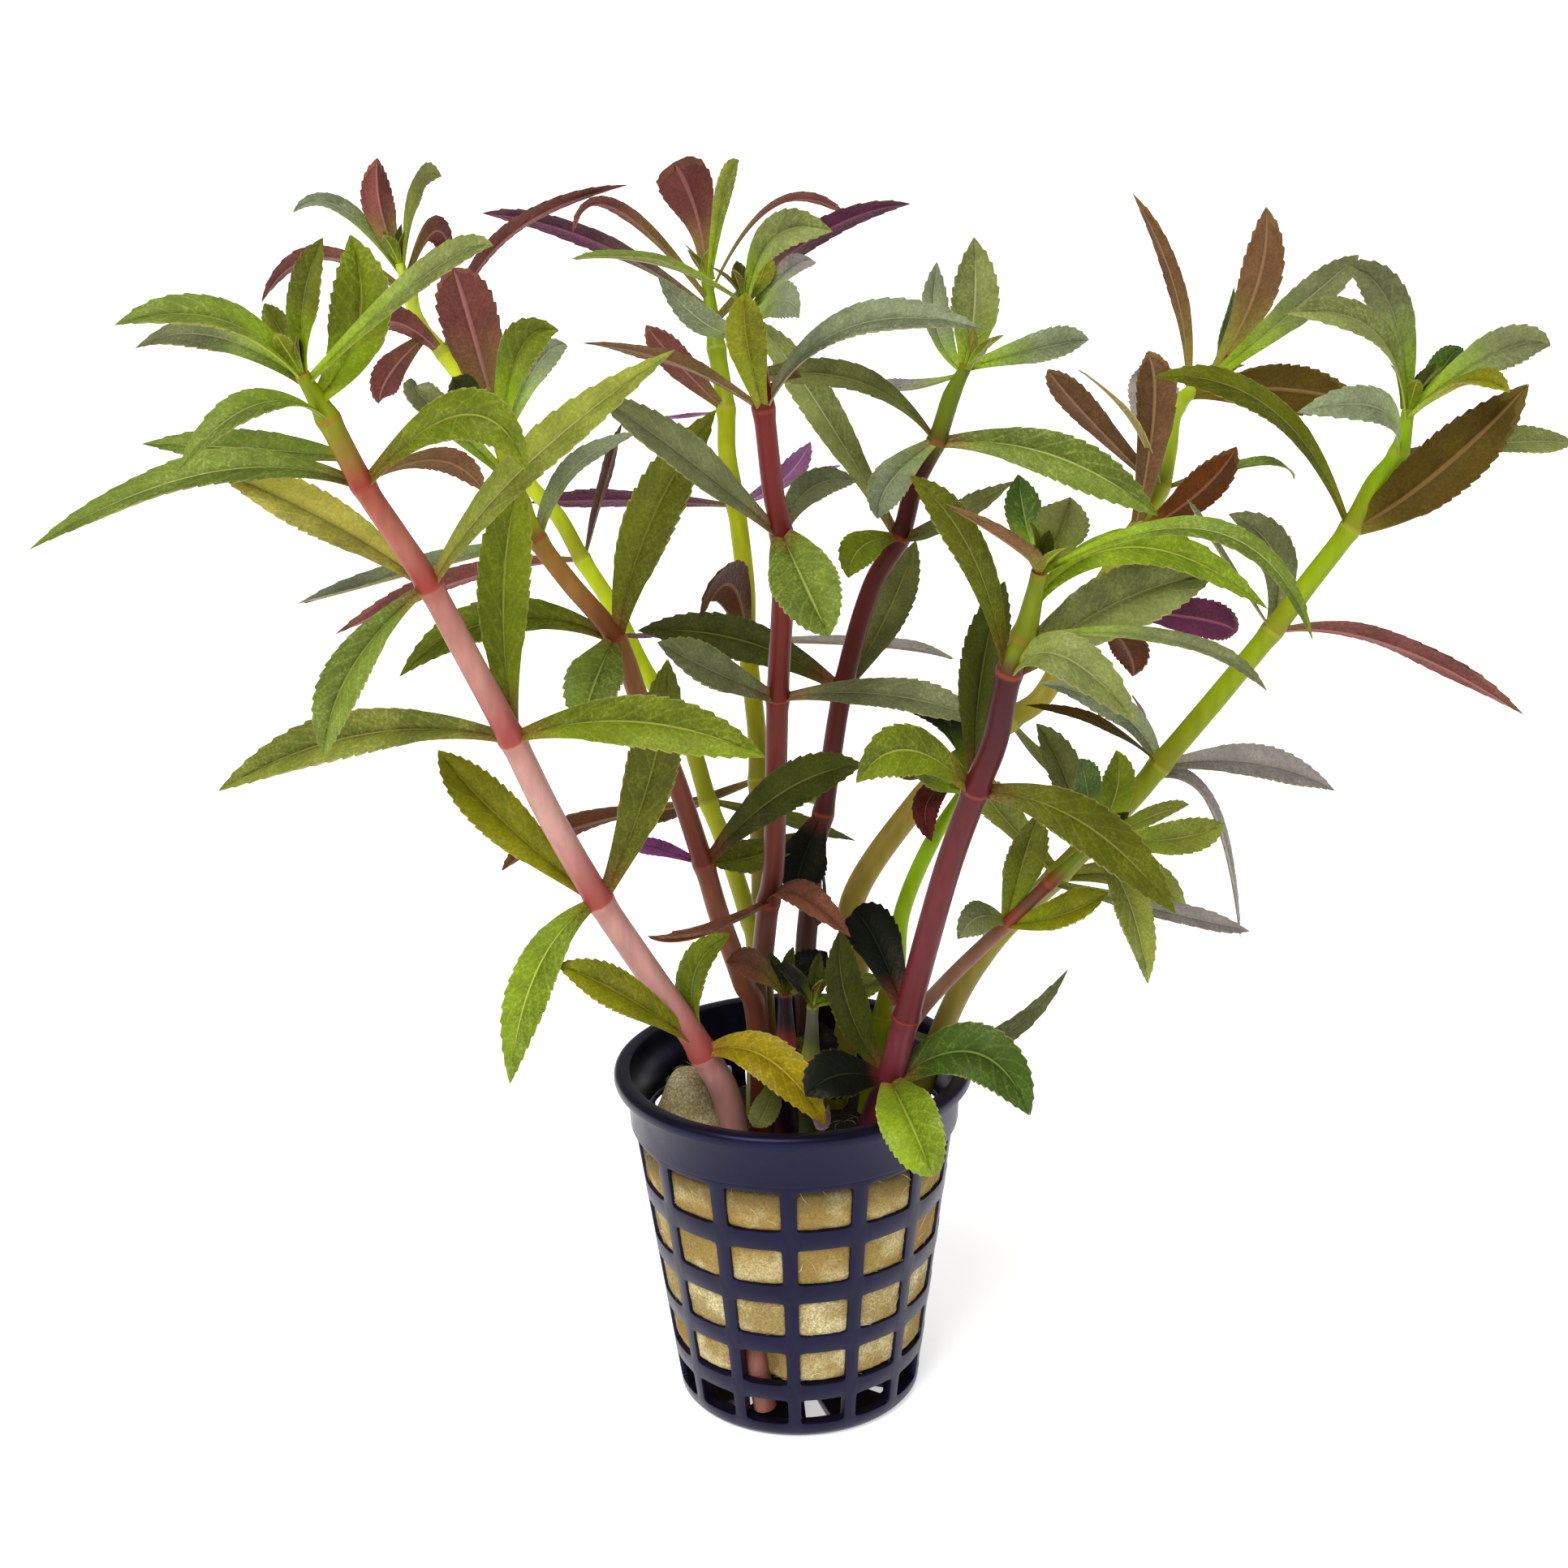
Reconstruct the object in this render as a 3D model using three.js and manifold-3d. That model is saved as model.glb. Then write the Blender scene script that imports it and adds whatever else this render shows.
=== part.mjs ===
// A bunch of creeping marshweed cuttings in a net pot packed with rock wool.
// Millimetres, +Z up, origin at the middle of the pot's base, front towards -Y.
import * as THREE from 'three';
import { mergeVertices } from 'three/addons/utils/BufferGeometryUtils.js';
import Module from 'manifold-3d';

const wasm = await Module();
wasm.setup();

// Driving dimensions of the pot.
const potHeight = 51.5;
const lipDiameter = 52;
const mouthDiameter = 47;
const lipThickness = 2;
const bandHeight = 6.4;
const bandRadius = 24.1;
const wallTopRadius = 23.3;
const baseRadius = 17.7;
const wallThickness = 1.4;
const floorThickness = 1.6;
const columns = 14;
const windowAngle = THREE.MathUtils.degToRad(20);
const windowRows = [[35.4, 42], [26.5, 32.4], [17.7, 23.5], [9.2, 14.9], [2.4, 6.6]];
const firstColumn = THREE.MathUtils.degToRad(10);
const floorSlots = { count: 7, from: 7.5, to: 14.5, width: 2.4 };

// Driving dimensions of the wool.
const woolBottom = 8;
const woolTop = 43;
const gap = 0.3;

// Driving dimensions of the plant.
const leafThickness = 0.9;
const leafFold = 0.12;
const stemSides = 6;

// The bunch is laid out as it shows from the front. A point is how far right and how high it
// shows against the pot's middle plane, then its depth, which grows towards the back and opens
// out with height.
const frontView = new THREE.Vector3(-0.4, -320, 195);
const openingBottom = 60;
const openingHeight = 100;
const opening = 0.3;
const leafReach = 1.5;

function seen(x, z, level) {
  const height = THREE.MathUtils.clamp((z - openingBottom) / openingHeight, 0, 1);
  const depth = level * (1 + opening * height);
  const nearness = (depth - frontView.y) / -frontView.y;
  return new THREE.Vector3(x, 0, z).sub(frontView).multiplyScalar(nearness).add(frontView);
}

// Each stem: its colour, where its cut end stands in the wool (x, y, z), its thickness at the bottom
// and at the top, its route from the mouth of the pot upwards, and its leaves. A leaf row holds the
// route point it grows at, its middle (x, z and step in depth), its tip (the same), its width,
// and how far its upper side is turned to the front, with a minus sign for the under side.
const stems = {
  left_front: {
    colour: 'red',
    foot: [-7.5, -6.5, 20],
    thickness: [4.3, 2.6],
    route: [
      [-9, 42, -9], [-13, 53, -11], [-20, 65, -14], [-27, 77, -17], [-33, 89, -20], [-38, 101, -23],
      [-43, 112, -25], [-48, 123, -27], [-52, 130, -29], [-56, 137, -31], [-60, 146, -33], [-63, 152, -34],
    ],
    leaves: [
      [1.2, -24, 62, -6, -33, 67, -8, 5.4, 0.7],
      [1, -4, 52, -4, 4, 42, -6, 6, 0.8],
      [3, -36, 67, -4, -41, 50, -4, 5.8, 0.7],
      [3, -40, 89, 1, -48, 99, 2, 6.2, 0.6],
      [3, -19, 95, -2, -16, 111, -3, 6.6, 0.8],
      [5, -58, 102, 2, -78, 95, 4, 6, 0.5],
      [5, -21, 103, -4, -4, 98, -7, 6.4, 0.7],
      [5, -38, 121, 4, -35, 137, 6, 6.4, 0.8],
      [7, -59, 112, -3, -64, 100, -3, 5.2, 0.6],
      [7, -61, 132, 4, -75, 139, 7, 5.6, 0.5],
      [7, -35, 138, -4, -15, 153, -6, 5, 0.6],
      [9, -76, 139, 0, -100, 130, 0, 5.6, 0.25],
      [9, -42, 146, -4, -34, 139, -6, 5.6, 0.8],
    ],
    crown: [
      [1, -14, 64, 0, -9, 71, 0, 5, 0.4],
      [9.4, -70, 142, 7, -84, 143, 10, 5, 0.3],
      [10, -69, 148, -6, -80, 140, -9, 4.4, 0.4],
      [9, -46, 140, 4, -40, 136, 6, 4, -0.5],
      [10.4, -55, 158, 1, -55, 169, 2, 6.6, 0.9],
      [10.8, -46, 164, -3, -37, 168, -5, 3.6, 0.5],
      [11, -62, 161, 0, -59, 169, -2, 4, 0.6],
      [11, -73, 159, -2, -86, 159, -3, 5, 0.35],
      [10.8, -74, 157, 4, -84, 156, 7, 4.5, 0.3],
      [11, -65, 157, 2, -67, 161, 3, 3, 0.4],
    ],
  },
  left_middle: {
    colour: 'red',
    foot: [-5, -1.5, 20],
    thickness: [3.2, 2.4],
    route: [
      [-5, 56, -3], [-7, 64, -4], [-10, 74, -5], [-12, 82, -6], [-16, 96, -7], [-20, 106, -8],
      [-23, 115, -9], [-29, 123, -10], [-33, 129, -10], [-35, 134, -10], [-38, 144, -10],
    ],
    leaves: [
      [3, -1, 92, -5, 10, 96, -8, 6, 0.7],
      [6, -18, 130, -2, -9, 145, -4, 6.6, 0.8],
      [6, -38, 118, 2, -52, 111, 3, 5.4, 0.6],
    ],
    crown: [
      [6, -26, 109, -5, -28, 103, -7, 7, 0.8],
      [3, -18, 84, 2, -22, 85, 4, 3, 0.2],
      [6, -20, 115, 3, -18, 115, 5, 2.6, 0.2],
      [8, -28, 138, 4, -19, 143, 6, 4.5, 0.3],
      [8, -49, 125, -2, -65, 121, -2, 5, 0.2],
      [9.6, -40, 157, 0, -42, 165, -1, 7, -0.9],
      [9.8, -34, 154, -3, -29, 157, -5, 5, 0.7],
      [9.8, -32, 152, 3, -28, 155, 6, 4, 0.6],
      [9.4, -46, 147, 0, -48, 150, 1, 4, 0.7],
      [10, -42, 149, -4, -43, 151, -6, 4, 0.7],
    ],
  },
  left_back: {
    colour: 'green',
    foot: [-6.5, 4, 20],
    thickness: [2.9, 2.1],
    route: [
      [-5, 65, 10], [-6, 74, 12], [-9, 85, 14], [-11, 91, 16], [-14, 102, 18], [-19, 110, 20],
      [-23, 119, 22], [-27, 126, 24], [-30, 132, 25], [-34, 137, 26], [-39, 146, 28], [-44, 154, 29],
      [-47, 158, 30], [-48, 162, 30], [-49, 166, 30],
    ],
    leaves: [
      [3, -29, 88, 4, -40, 82, 7, 5, -0.4],
      [7, -42, 124, 3, -60, 117, 5, 5, -0.35],
      [11, -36, 168, 2, -20, 175, 4, 5, -0.4],
    ],
    crown: [
      [7, -24, 135, 3, -21, 144, 5, 4.5, -0.3],
      [3, 0, 88, 1, 9, 85, 2, 5, 0.4],
      [11, -49, 158, -2, -53, 158, -4, 4, -0.3],
      [11.6, -51, 152, -4, -53, 148, -5, 4.6, -0.7],
      [14, -51, 173, 1, -51, 179, 1, 4.6, -0.8],
      [13.6, -56, 173, 2, -62, 173, 3, 3.4, 0.25],
      [13, -59, 167, -3, -67, 162, -5, 4.5, -0.3],
      [13.8, -46, 175, -2, -43, 177, -4, 4, 0.5],
      [13.4, -44, 170, 3, -42, 165, 5, 3.8, -0.6],
    ],
  },
  centre_back: {
    colour: 'green',
    foot: [-2.5, 7.5, 20],
    thickness: [3, 2.4],
    route: [
      [-4, 65, 15], [-4, 80, 20], [-4, 94, 24], [-4, 101, 26], [-5, 114, 30], [-5, 122, 32],
      [-6, 133, 35], [-7, 140, 37], [-7, 146, 38], [-8, 154, 40], [-9, 163, 42],
    ],
    leaves: [
      [4, 13, 113, 3, 23, 111, 5, 5.4, 0.3],
    ],
    crown: [
      [6, -20, 134, 3, -33, 134, 4, 5, -0.3],
      [2, -14, 90, 6, -22, 88, 10, 5.4, 0.4],
      [2, 2, 91, 8, 5, 93, 13, 5.4, 0.4],
      [4, -7, 122, -5, -11, 118, -9, 7.4, -0.7],
      [6, 0, 136, -5, 4, 141, -8, 4, -0.3],
      [6, 2, 136, 4, 8, 138, 7, 3.6, 0.2],
      [8, -12, 145, 4, -17, 145, 7, 2.6, 0.2],
      [8, -13, 152, -3, -17, 157, -5, 4.6, -0.6],
      [10, -10, 172, 1, -12, 179, -1, 7, -0.8],
      [9.6, -23, 168, 2, -37, 172, 4, 5, -0.3],
      [9.7, -20, 172, -3, -26, 170, -6, 3, -0.2],
      [9.8, 0, 172, 4, 9, 171, 7, 3, -0.2],
      [9.4, 5, 168, -3, 17, 172, -5, 4.8, -0.35],
      [9.9, -6, 174, -3, -4, 179, -5, 4.4, 0.8],
    ],
  },
  centre_front: {
    colour: 'red',
    foot: [-1, 0.5, 20],
    thickness: [3.3, 2.6],
    route: [
      [-5, 59, 3], [-4, 68, 0], [-3, 76, -2], [-2, 83, -4], [-1, 106, -9], [0, 120, -12],
      [0, 129, -14], [-1, 135, -15], [-2, 146, -17], [-3, 153, -18], [-4, 160, -18],
    ],
    leaves: [
      [4, 14, 106, -3, 27, 102, -6, 5.2, 0.4],
      [6, 3, 122, -6, 6, 115, -9, 8, 0.9],
      [6, -12, 139, -4, -24, 148, -7, 5.4, 0.6],
      [8, 9, 156, -4, 26, 156, -7, 5, 0.4],
    ],
    crown: [
      [4, -10, 110, -5, -17, 114, -7, 5.4, 0.6],
      [2, 1, 77, -5, 8, 71, -8, 5.4, 0.5],
      [2, -13, 71, -12, -20, 71, -12, 5, -0.3],
      [6, 4, 135, 5, 10, 136, 8, 4.5, 0.5],
      [8, -13, 152, -4, -25, 155, -7, 4.6, -0.3],
      [8, -4, 155, -5, -4, 161, -7, 4.6, 0.7],
      [8, 0, 149, 5, 3, 150, 7, 3.6, -0.3],
      [10, -15, 166, -3, -26, 166, -5, 5, 0.4],
      [9.4, -9, 157, 4, -15, 163, 6, 4.5, 0.4],
      [10, 0, 168, -3, 7, 169, -5, 4.6, 0.6],
      [9.8, 2, 164, 3, 5, 165, 5, 3, 0.4],
      [9.6, 1, 160, -5, 3, 158, -8, 4.2, 0.7],
      [10, -2, 163, 2, -1, 166, 3, 3, 0.6],
    ],
  },
  centre_right: {
    colour: 'red',
    foot: [3.8, 3.2, 20],
    thickness: [2.9, 2.3],
    route: [
      [2, 61, 8], [3, 77, 9], [4, 86, 9], [5, 89, 9], [8, 107, 10], [12, 121, 11],
      [16, 128, 11], [18, 135, 12], [21, 141, 12], [23, 147, 12], [25, 151, 12],
    ],
    leaves: [
      [4, -5, 114, 3, -19, 116, 4, 6.2, 0.7],
      [4, 14, 117, 4, 18, 127, 6, 5.4, 0.7],
      [6, 6, 145, 2, -2, 157, 3, 5.6, 0.6],
      [8, 36, 139, -2, 50, 131, -4, 6.2, 0.8],
    ],
    crown: [
      [6, 23, 130, -3, 31, 135, -5, 5.2, 0.5],
      [2, -4, 83, -3, -11, 82, -5, 5.6, 0.4],
      [3, 2, 82, -3, 1, 78, -4, 7, 0.6],
      [6, 11, 127, -4, 9, 123, -6, 5, 0.5],
      [8, 11, 149, -3, -3, 150, -6, 5.2, 0.4],
      [8, 15, 136, -4, 13, 131, -6, 5, 0.8],
      [10, 26, 158, 1, 26, 167, 1, 6.4, 0.9],
      [9.8, 21, 156, 2, 21, 164, 4, 4.6, 0.4],
      [10, 35, 153, -2, 41, 154, -4, 4.6, 0.7],
      [9.6, 17, 148, 3, 13, 149, 5, 4, 0.4],
      [10, 27, 152, -4, 28, 154, -6, 4, 0.5],
      [1, 5, 75, -3, 5, 80, -3, 5.6, 0.5],
    ],
  },
  right_front: {
    colour: 'red',
    foot: [7.5, -9, 20],
    thickness: [4, 3],
    route: [
      [11, 39, -12], [14, 48, -14], [16, 58, -17], [20, 79, -22], [25, 92, -26], [28, 99, -28],
      [31, 109, -30], [33, 114, -31], [35, 123, -33],
    ],
    leaves: [
      [1, 26, 52, -3, 34, 43, -5, 7.6, 0.7],
      [1, 17, 41, -10, 20, 33, -12, 7.6, 0.9],
      [1, 8, 60, 1, 7, 71, 0, 5.6, 0.6],
      [4, 41, 87, -2, 54, 74, -4, 6.4, 0.7],
      [4, 27, 108, 4, 30, 121, 7, 5.6, 0.7],
      [6, 26, 125, -3, 18, 136, -4, 4.6, 0.6],
      [6, 45, 118, 2, 58, 122, 3, 7.6, 0.9],
    ],
    crown: [
      [6, 38, 111, -4, 48, 102, -6, 5.6, 0.6],
      [4, 17, 98, -3, 10, 94, -6, 6.2, 0.8],
      [1, 7, 49, -3, 2, 46, -5, 7, 0.5],
      [2, 12, 70, 6, 9, 74, 9, 7, 0.6],
      [7, 53, 113, -5, 66, 106, -8, 2.8, 0.2],
      [8, 32, 126, -2, 23, 132, -4, 3.8, -0.35],
      [7.6, 48, 126, 2, 65, 118, 4, 4.8, 0.6],
      [8, 58, 128, -3, 72, 114, -6, 3.4, 0.3],
      [8, 38, 129, 1, 39, 133, 1, 6, 0.8],
      [8, 33, 130, 3, 32, 136, 4, 4.4, 0.6],
    ],
  },
  right_far: {
    colour: 'green',
    foot: [11, 0.5, 20],
    thickness: [4, 2.8],
    route: [
      [20.8, 53.5, 0], [28, 68, -2], [38, 79, -3], [48, 90, -5], [52, 95, -5], [60, 105, -6],
      [67, 114, -7], [72, 121, -8], [77, 128, -8], [80, 134, -8], [83, 138, -8], [84, 144, -8],
    ],
    leaves: [
      [4, 65, 95, 6, 76, 91, 8, 5.4, 0.5],
      [3.8, 59, 89, 2, 64, 70, 2, 5, 0.2],
      [6, 82, 112, -2, 101, 102, -4, 5.4, -0.4],
      [8, 66, 144, -2, 51, 149, -4, 4.8, 0.5],
      [8, 88, 135, -3, 99, 146, -5, 7.6, -0.9],
      [10, 97, 139, 3, 106, 139, 5, 5, 0.3],
    ],
    crown: [
      [6, 67, 124, 3, 61, 130, 4, 5.4, 0.7],
      [4, 46, 103, 3, 36, 107, 4, 5.2, 0.5],
      [2, 30, 88, 5, 26, 94, 8, 5.4, 0.5],
      [2, 50, 78, 3, 56, 72, 5, 5.6, 0.5],
      [4, 44, 101, -4, 34, 104, -6, 2.4, 0.2],
      [4, 50, 101, 4, 48, 105, 7, 3.4, -0.3],
      [6, 60, 124, -3, 55, 132, -5, 3, 0.2],
      [10, 80, 144, -5, 70, 144, -8, 4.6, 0.6],
      [11, 81, 157, 1, 75, 163, 1, 5, 0.8],
      [10.8, 79, 154, -3, 68, 157, -5, 4.6, 0.5],
      [11, 95, 151, -1, 102, 152, -2, 5, 0.8],
      [11, 88, 149, 3, 90, 152, 5, 3.6, 0.5],
      [10.8, 91, 147, -4, 97, 146, -7, 4, 0.3],
    ],
  },
  right_back: {
    colour: 'green',
    foot: [2, 9.5, 20],
    thickness: [3.8, 2.6],
    route: [
      [9, 62, 12], [9, 76, 16], [18, 90, 20], [24, 96, 22], [31, 102, 24], [36, 106, 26],
      [42, 118, 28], [48, 128, 30], [51, 134, 32], [52, 139, 34], [53, 145, 36], [58, 149, 38],
    ],
    leaves: [
      [8, 50, 145, 9, 49, 152, 10, 7.6, 0.8],
      [6, 56, 116, -3, 62, 114, -5, 5.6, -0.7],
      [11, 67, 147, -3, 77, 145, -5, 7.2, -0.8],
    ],
    crown: [
      [7, 56, 133, -4, 61, 139, -6, 5.4, -0.5],
      [3, 18, 94, 4, 16, 98, 6, 4, 0.5],
      [4, 38, 94, 3, 46, 90, 5, 5.6, 0.4],
      [6, 47, 112, 3, 48, 108, 5, 5.4, -0.6],
      [8, 41, 144, -3, 36, 150, -5, 4.6, -0.5],
      [8, 47, 143, -5, 40, 150, -8, 3.6, 0.3],
      [8, 64, 137, 3, 69, 135, 5, 3, 0.4],
      [7, 50, 144, -3, 49, 152, -4, 5.6, -0.7],
      [11, 63, 160, 1, 64, 170, 0, 6, -0.8],
      [11, 69, 158, -3, 76, 164, -5, 5, 0.6],
      [10.4, 52, 162, 2, 47, 171, 3, 3.4, -0.5],
      [11, 59, 153, 5, 60, 160, 8, 3, 0.5],
    ],
  },
  right_inner: {
    colour: 'green',
    foot: [7.6, 6.6, 20],
    thickness: [2.9, 2.2],
    route: [[13, 58, 9], [15, 65, 9], [16, 74, 11], [20, 84, 12], [26, 94, 13]],
    leaves: [],
    crown: [
      [1, 32, 57, 4, 37, 62, 8, 3, 0.4],
      [4, 20, 91, -3, 20, 85, -4, 3.8, -0.4],
      [4, 22, 102, 2, 15, 105, 4, 5, 0.5],
      [4, 25, 101, 1, 26, 107, 2, 5, 0.7],
      [3.8, 20, 94, -3, 15, 98, -5, 4.6, 0.5],
    ],
  },
  side_shoot: {
    colour: 'red',
    foot: [4.6, -4, 20],
    thickness: [2.3, 1.9],
    route: [[15, 52, -4], [18, 58, -5], [23, 64, -9], [31, 72, -14], [37, 78, -17], [43, 84, -19]],
    leaves: [
      [5, 48, 75, -3, 51, 63, -4, 5.4, 0.5],
    ],
    crown: [
      [3, 39, 73, -4, 45, 76, -6, 5, 0.6],
      [3, 33, 81, -2, 35, 88, -3, 5.4, 0.7],
      [3, 27, 73, -3, 24, 70, -5, 4.4, 0.7],
      [4, 54, 73, 3, 65, 70, 6, 3.4, 0.3],
      [4.8, 39, 93, 1, 35, 101, 2, 5, 0.6],
      [5, 42, 91, -3, 41, 96, -5, 4.4, 0.6],
      [5, 46, 91, 2, 46, 97, 3, 4.4, 0.7],
      [5, 50, 87, -2, 56, 89, -4, 4.4, 0.4],
      [5, 54, 84, 3, 61, 86, 5, 4.6, 0.6],
    ],
  },
  short_left: {
    colour: 'red',
    foot: [-0.4, -4.4, 20],
    thickness: [3.2, 3],
    route: [[-1.5, 46, -6], [-1, 54, -6], [-1, 62, -6]],
    leaves: [],
    crown: [
      [2, -5, 66, -3, -9, 67, -5, 4.4, 0.6],
      [2, 2, 64, 1, 5, 65, 2, 4.4, 0.7],
      [0.6, -4, 44, -4, -6, 41, -7, 3.8, 0.5],
      [1, 3, 53, 2, 4, 57, 3, 6, 0.5],
    ],
  },
  short_right: {
    colour: 'green',
    foot: [2, -10.5, 20],
    thickness: [2.8, 2.4],
    route: [[2, 45, -11], [2.6, 52, -12], [3, 60, -13]],
    leaves: [],
    crown: [
      [2, 10, 62, 3, 14, 64, 5, 5, 0.6],
      [2, 1, 63, -3, -2, 66, -5, 4, 0.5],
      [1, 6, 48, -1, 10, 51, -1, 6, 0.5],
      [0, 4, 41, -1, 5, 44, -1, 1.8, 0.6],
    ],
  },
};

// A closed body from rings of points. The last ring may be a single point, the tip.
function loft(rings) {
  const positions = rings.flat().flatMap((point) => point.toArray());
  const size = rings[0].length;
  const faces = [];
  for (let i = 1; i < size - 1; i += 1) faces.push(0, i + 1, i);
  for (let ring = 0; ring < rings.length - 1; ring += 1) {
    const low = ring * size;
    const high = low + size;
    const toTip = rings[ring + 1].length === 1;
    for (let i = 0; i < size; i += 1) {
      const next = (i + 1) % size;
      if (toTip) {
        faces.push(low + i, low + next, high);
      } else {
        faces.push(low + i, low + next, high + next, low + i, high + next, high + i);
      }
    }
  }
  if (rings.at(-1).length > 1) {
    const last = (rings.length - 1) * size;
    for (let i = 1; i < size - 1; i += 1) faces.push(last, last + i, last + i + 1);
  }
  const geometry = new THREE.BufferGeometry();
  geometry.setAttribute('position', new THREE.Float32BufferAttribute(positions, 3));
  geometry.setIndex(faces);
  return geometry;
}

// The geometry as a solid that can be cut and joined.
function solid(geometry) {
  geometry.deleteAttribute('normal');
  geometry.deleteAttribute('uv');
  const merged = mergeVertices(geometry, 1e-5);
  return new wasm.Manifold(new wasm.Mesh({
    numProp: 3,
    vertProperties: new Float32Array(merged.attributes.position.array),
    triVerts: new Uint32Array(merged.index.array),
  }));
}

function geometryOf(body) {
  const { vertProperties, triVerts } = body.getMesh();
  const geometry = new THREE.BufferGeometry();
  geometry.setAttribute('position', new THREE.BufferAttribute(vertProperties, 3));
  geometry.setIndex(new THREE.BufferAttribute(triVerts, 1));
  return geometry;
}

// The pot: a lathed cup with a lip and a band, cut by rows of windows and by floor slots.
function wallRadius(z) {
  return THREE.MathUtils.lerp(baseRadius, wallTopRadius, z / (potHeight - lipThickness - bandHeight));
}

function potBody() {
  const bandBottom = potHeight - lipThickness - bandHeight;
  const lip = lipDiameter / 2;
  const mouth = mouthDiameter / 2;
  const profile = [
    [0, 0],
    [baseRadius - 1, 0],
    [baseRadius, 1],
    [wallTopRadius, bandBottom],
    [bandRadius - 0.3, bandBottom],
    [bandRadius, potHeight - lipThickness],
    [lip - 0.4, potHeight - lipThickness],
    [lip, potHeight - lipThickness / 2],
    [lip - 0.4, potHeight],
    [mouth + 0.4, potHeight],
    [mouth, potHeight - 0.5],
    [bandRadius - 1.5, bandBottom],
    [wallRadius(floorThickness) - wallThickness, floorThickness],
    [0, floorThickness],
  ].map(([radius, z]) => new THREE.Vector2(radius, z));
  const cup = new THREE.LatheGeometry(profile, columns * 2, firstColumn);
  return solid(cup.rotateX(Math.PI / 2));
}

function windowCuts() {
  const cuts = [];
  for (let column = 0; column < columns; column += 1) {
    for (const [low, high] of windowRows) {
      const radius = wallRadius((low + high) / 2);
      const box = new THREE.BoxGeometry(2 * radius * Math.sin(windowAngle / 2), 6, high - low);
      box.translate(0, -radius, (low + high) / 2);
      box.rotateZ(firstColumn + column * 2 * Math.PI / columns);
      cuts.push(solid(box));
    }
  }
  for (let slot = 0; slot < floorSlots.count; slot += 1) {
    const box = new THREE.BoxGeometry(floorSlots.width, floorSlots.to - floorSlots.from, 4);
    box.translate(0, -(floorSlots.from + floorSlots.to) / 2, floorThickness / 2);
    box.rotateZ(firstColumn + slot * 2 * Math.PI / floorSlots.count);
    cuts.push(solid(box));
  }
  return cuts;
}

// The stems. A route is a smooth curve from the cut end in the wool through the route points.
const routes = {};

function routeOf(stem) {
  const points = stem.route.map(([x, z, depth]) => seen(x, z, depth));
  return new THREE.CatmullRomCurve3([new THREE.Vector3(...stem.foot), ...points], false, 'catmullrom', 0.5);
}

// Where route point `place` lies along the curve, from 0 to 1.
function along(stem, place) {
  return (place + 1) / stem.route.length;
}

function stemRadius(stem, t) {
  return THREE.MathUtils.lerp(stem.thickness[0], stem.thickness[1], t) / 2;
}

function stemRings(stem, extra = 0) {
  const curve = routes[stem.name];
  const steps = stem.route.length;
  const rings = [];
  let normal = new THREE.Vector3(1, 0, 0);
  for (let step = 0; step <= steps; step += 1) {
    const t = step / steps;
    const centre = curve.getPoint(t);
    const tangent = curve.getTangent(t);
    normal = normal.clone().addScaledVector(tangent, -normal.dot(tangent)).normalize();
    const across = tangent.clone().cross(normal);
    const radius = stemRadius(stem, t) + extra;
    const ring = [];
    for (let side = 0; side < stemSides; side += 1) {
      const angle = side * 2 * Math.PI / stemSides;
      ring.push(centre.clone()
        .addScaledVector(normal, radius * Math.cos(angle))
        .addScaledVector(across, radius * Math.sin(angle)));
    }
    rings.push(ring);
  }
  return rings;
}

// The leaves. A leaf widens past its middle and ends in a point; its two halves fold up a little.
// Each outline is how far along the leaf and how wide there, as a share of its full width.
const grownOutline = [[0, 0.2], [0.3, 0.65], [0.7, 1]];
const youngOutline = [[0, 0.25], [0.6, 1]];

function leafBody(stem, row, rooted) {
  const [place, midX, midZ, midStep, tipX, tipZ, tipStep, width, show] = row;
  const t = along(stem, place);
  const curve = routes[stem.name];
  const node = curve.getPoint(t);
  const upwards = curve.getTangent(t);
  const depth = stem.route[Math.floor(place)][2];
  const middle = seen(midX, midZ, depth + leafReach * midStep);
  const tip = seen(tipX, tipZ, depth + leafReach * tipStep);
  const outwards = middle.clone().sub(node);
  const steepness = Math.abs(outwards.clone().normalize().dot(upwards));
  outwards.addScaledVector(upwards, -outwards.dot(upwards)).normalize();
  const radius = stemRadius(stem, t);
  const start = rooted ? radius * 0.3 : radius + gap + 0.1 + steepness * leafThickness / 2;
  const base = node.clone().addScaledVector(outwards, start);
  const bend = middle.clone().multiplyScalar(2).addScaledVector(base, -0.5).addScaledVector(tip, -0.5);
  const spine = new THREE.QuadraticBezierCurve3(base, bend, tip);
  const chord = tip.clone().sub(base).normalize();
  const toFront = frontView.clone().sub(middle);
  toFront.addScaledVector(chord, -toFront.dot(chord)).normalize();
  const facing = upwards.clone().addScaledVector(chord, -upwards.dot(chord)).normalize();
  facing.multiplyScalar(1 - Math.abs(show)).addScaledVector(toFront, show);
  const outline = rooted ? youngOutline : grownOutline;
  const rings = outline.map(([s, share]) => {
    const centre = spine.getPoint(s);
    const tangent = spine.getTangent(s);
    const normal = facing.clone().addScaledVector(tangent, -facing.dot(tangent)).normalize();
    const sideways = tangent.clone().cross(normal);
    const half = width * share / 2;
    const thick = leafThickness / 2;
    return [
      centre.clone().addScaledVector(sideways, half).addScaledVector(normal, half * leafFold * 2),
      centre.clone().addScaledVector(normal, -thick),
      centre.clone().addScaledVector(sideways, -half).addScaledVector(normal, half * leafFold * 2),
      centre.clone().addScaledVector(normal, thick),
    ];
  });
  return solid(loft([...rings, [tip]]));
}

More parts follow.
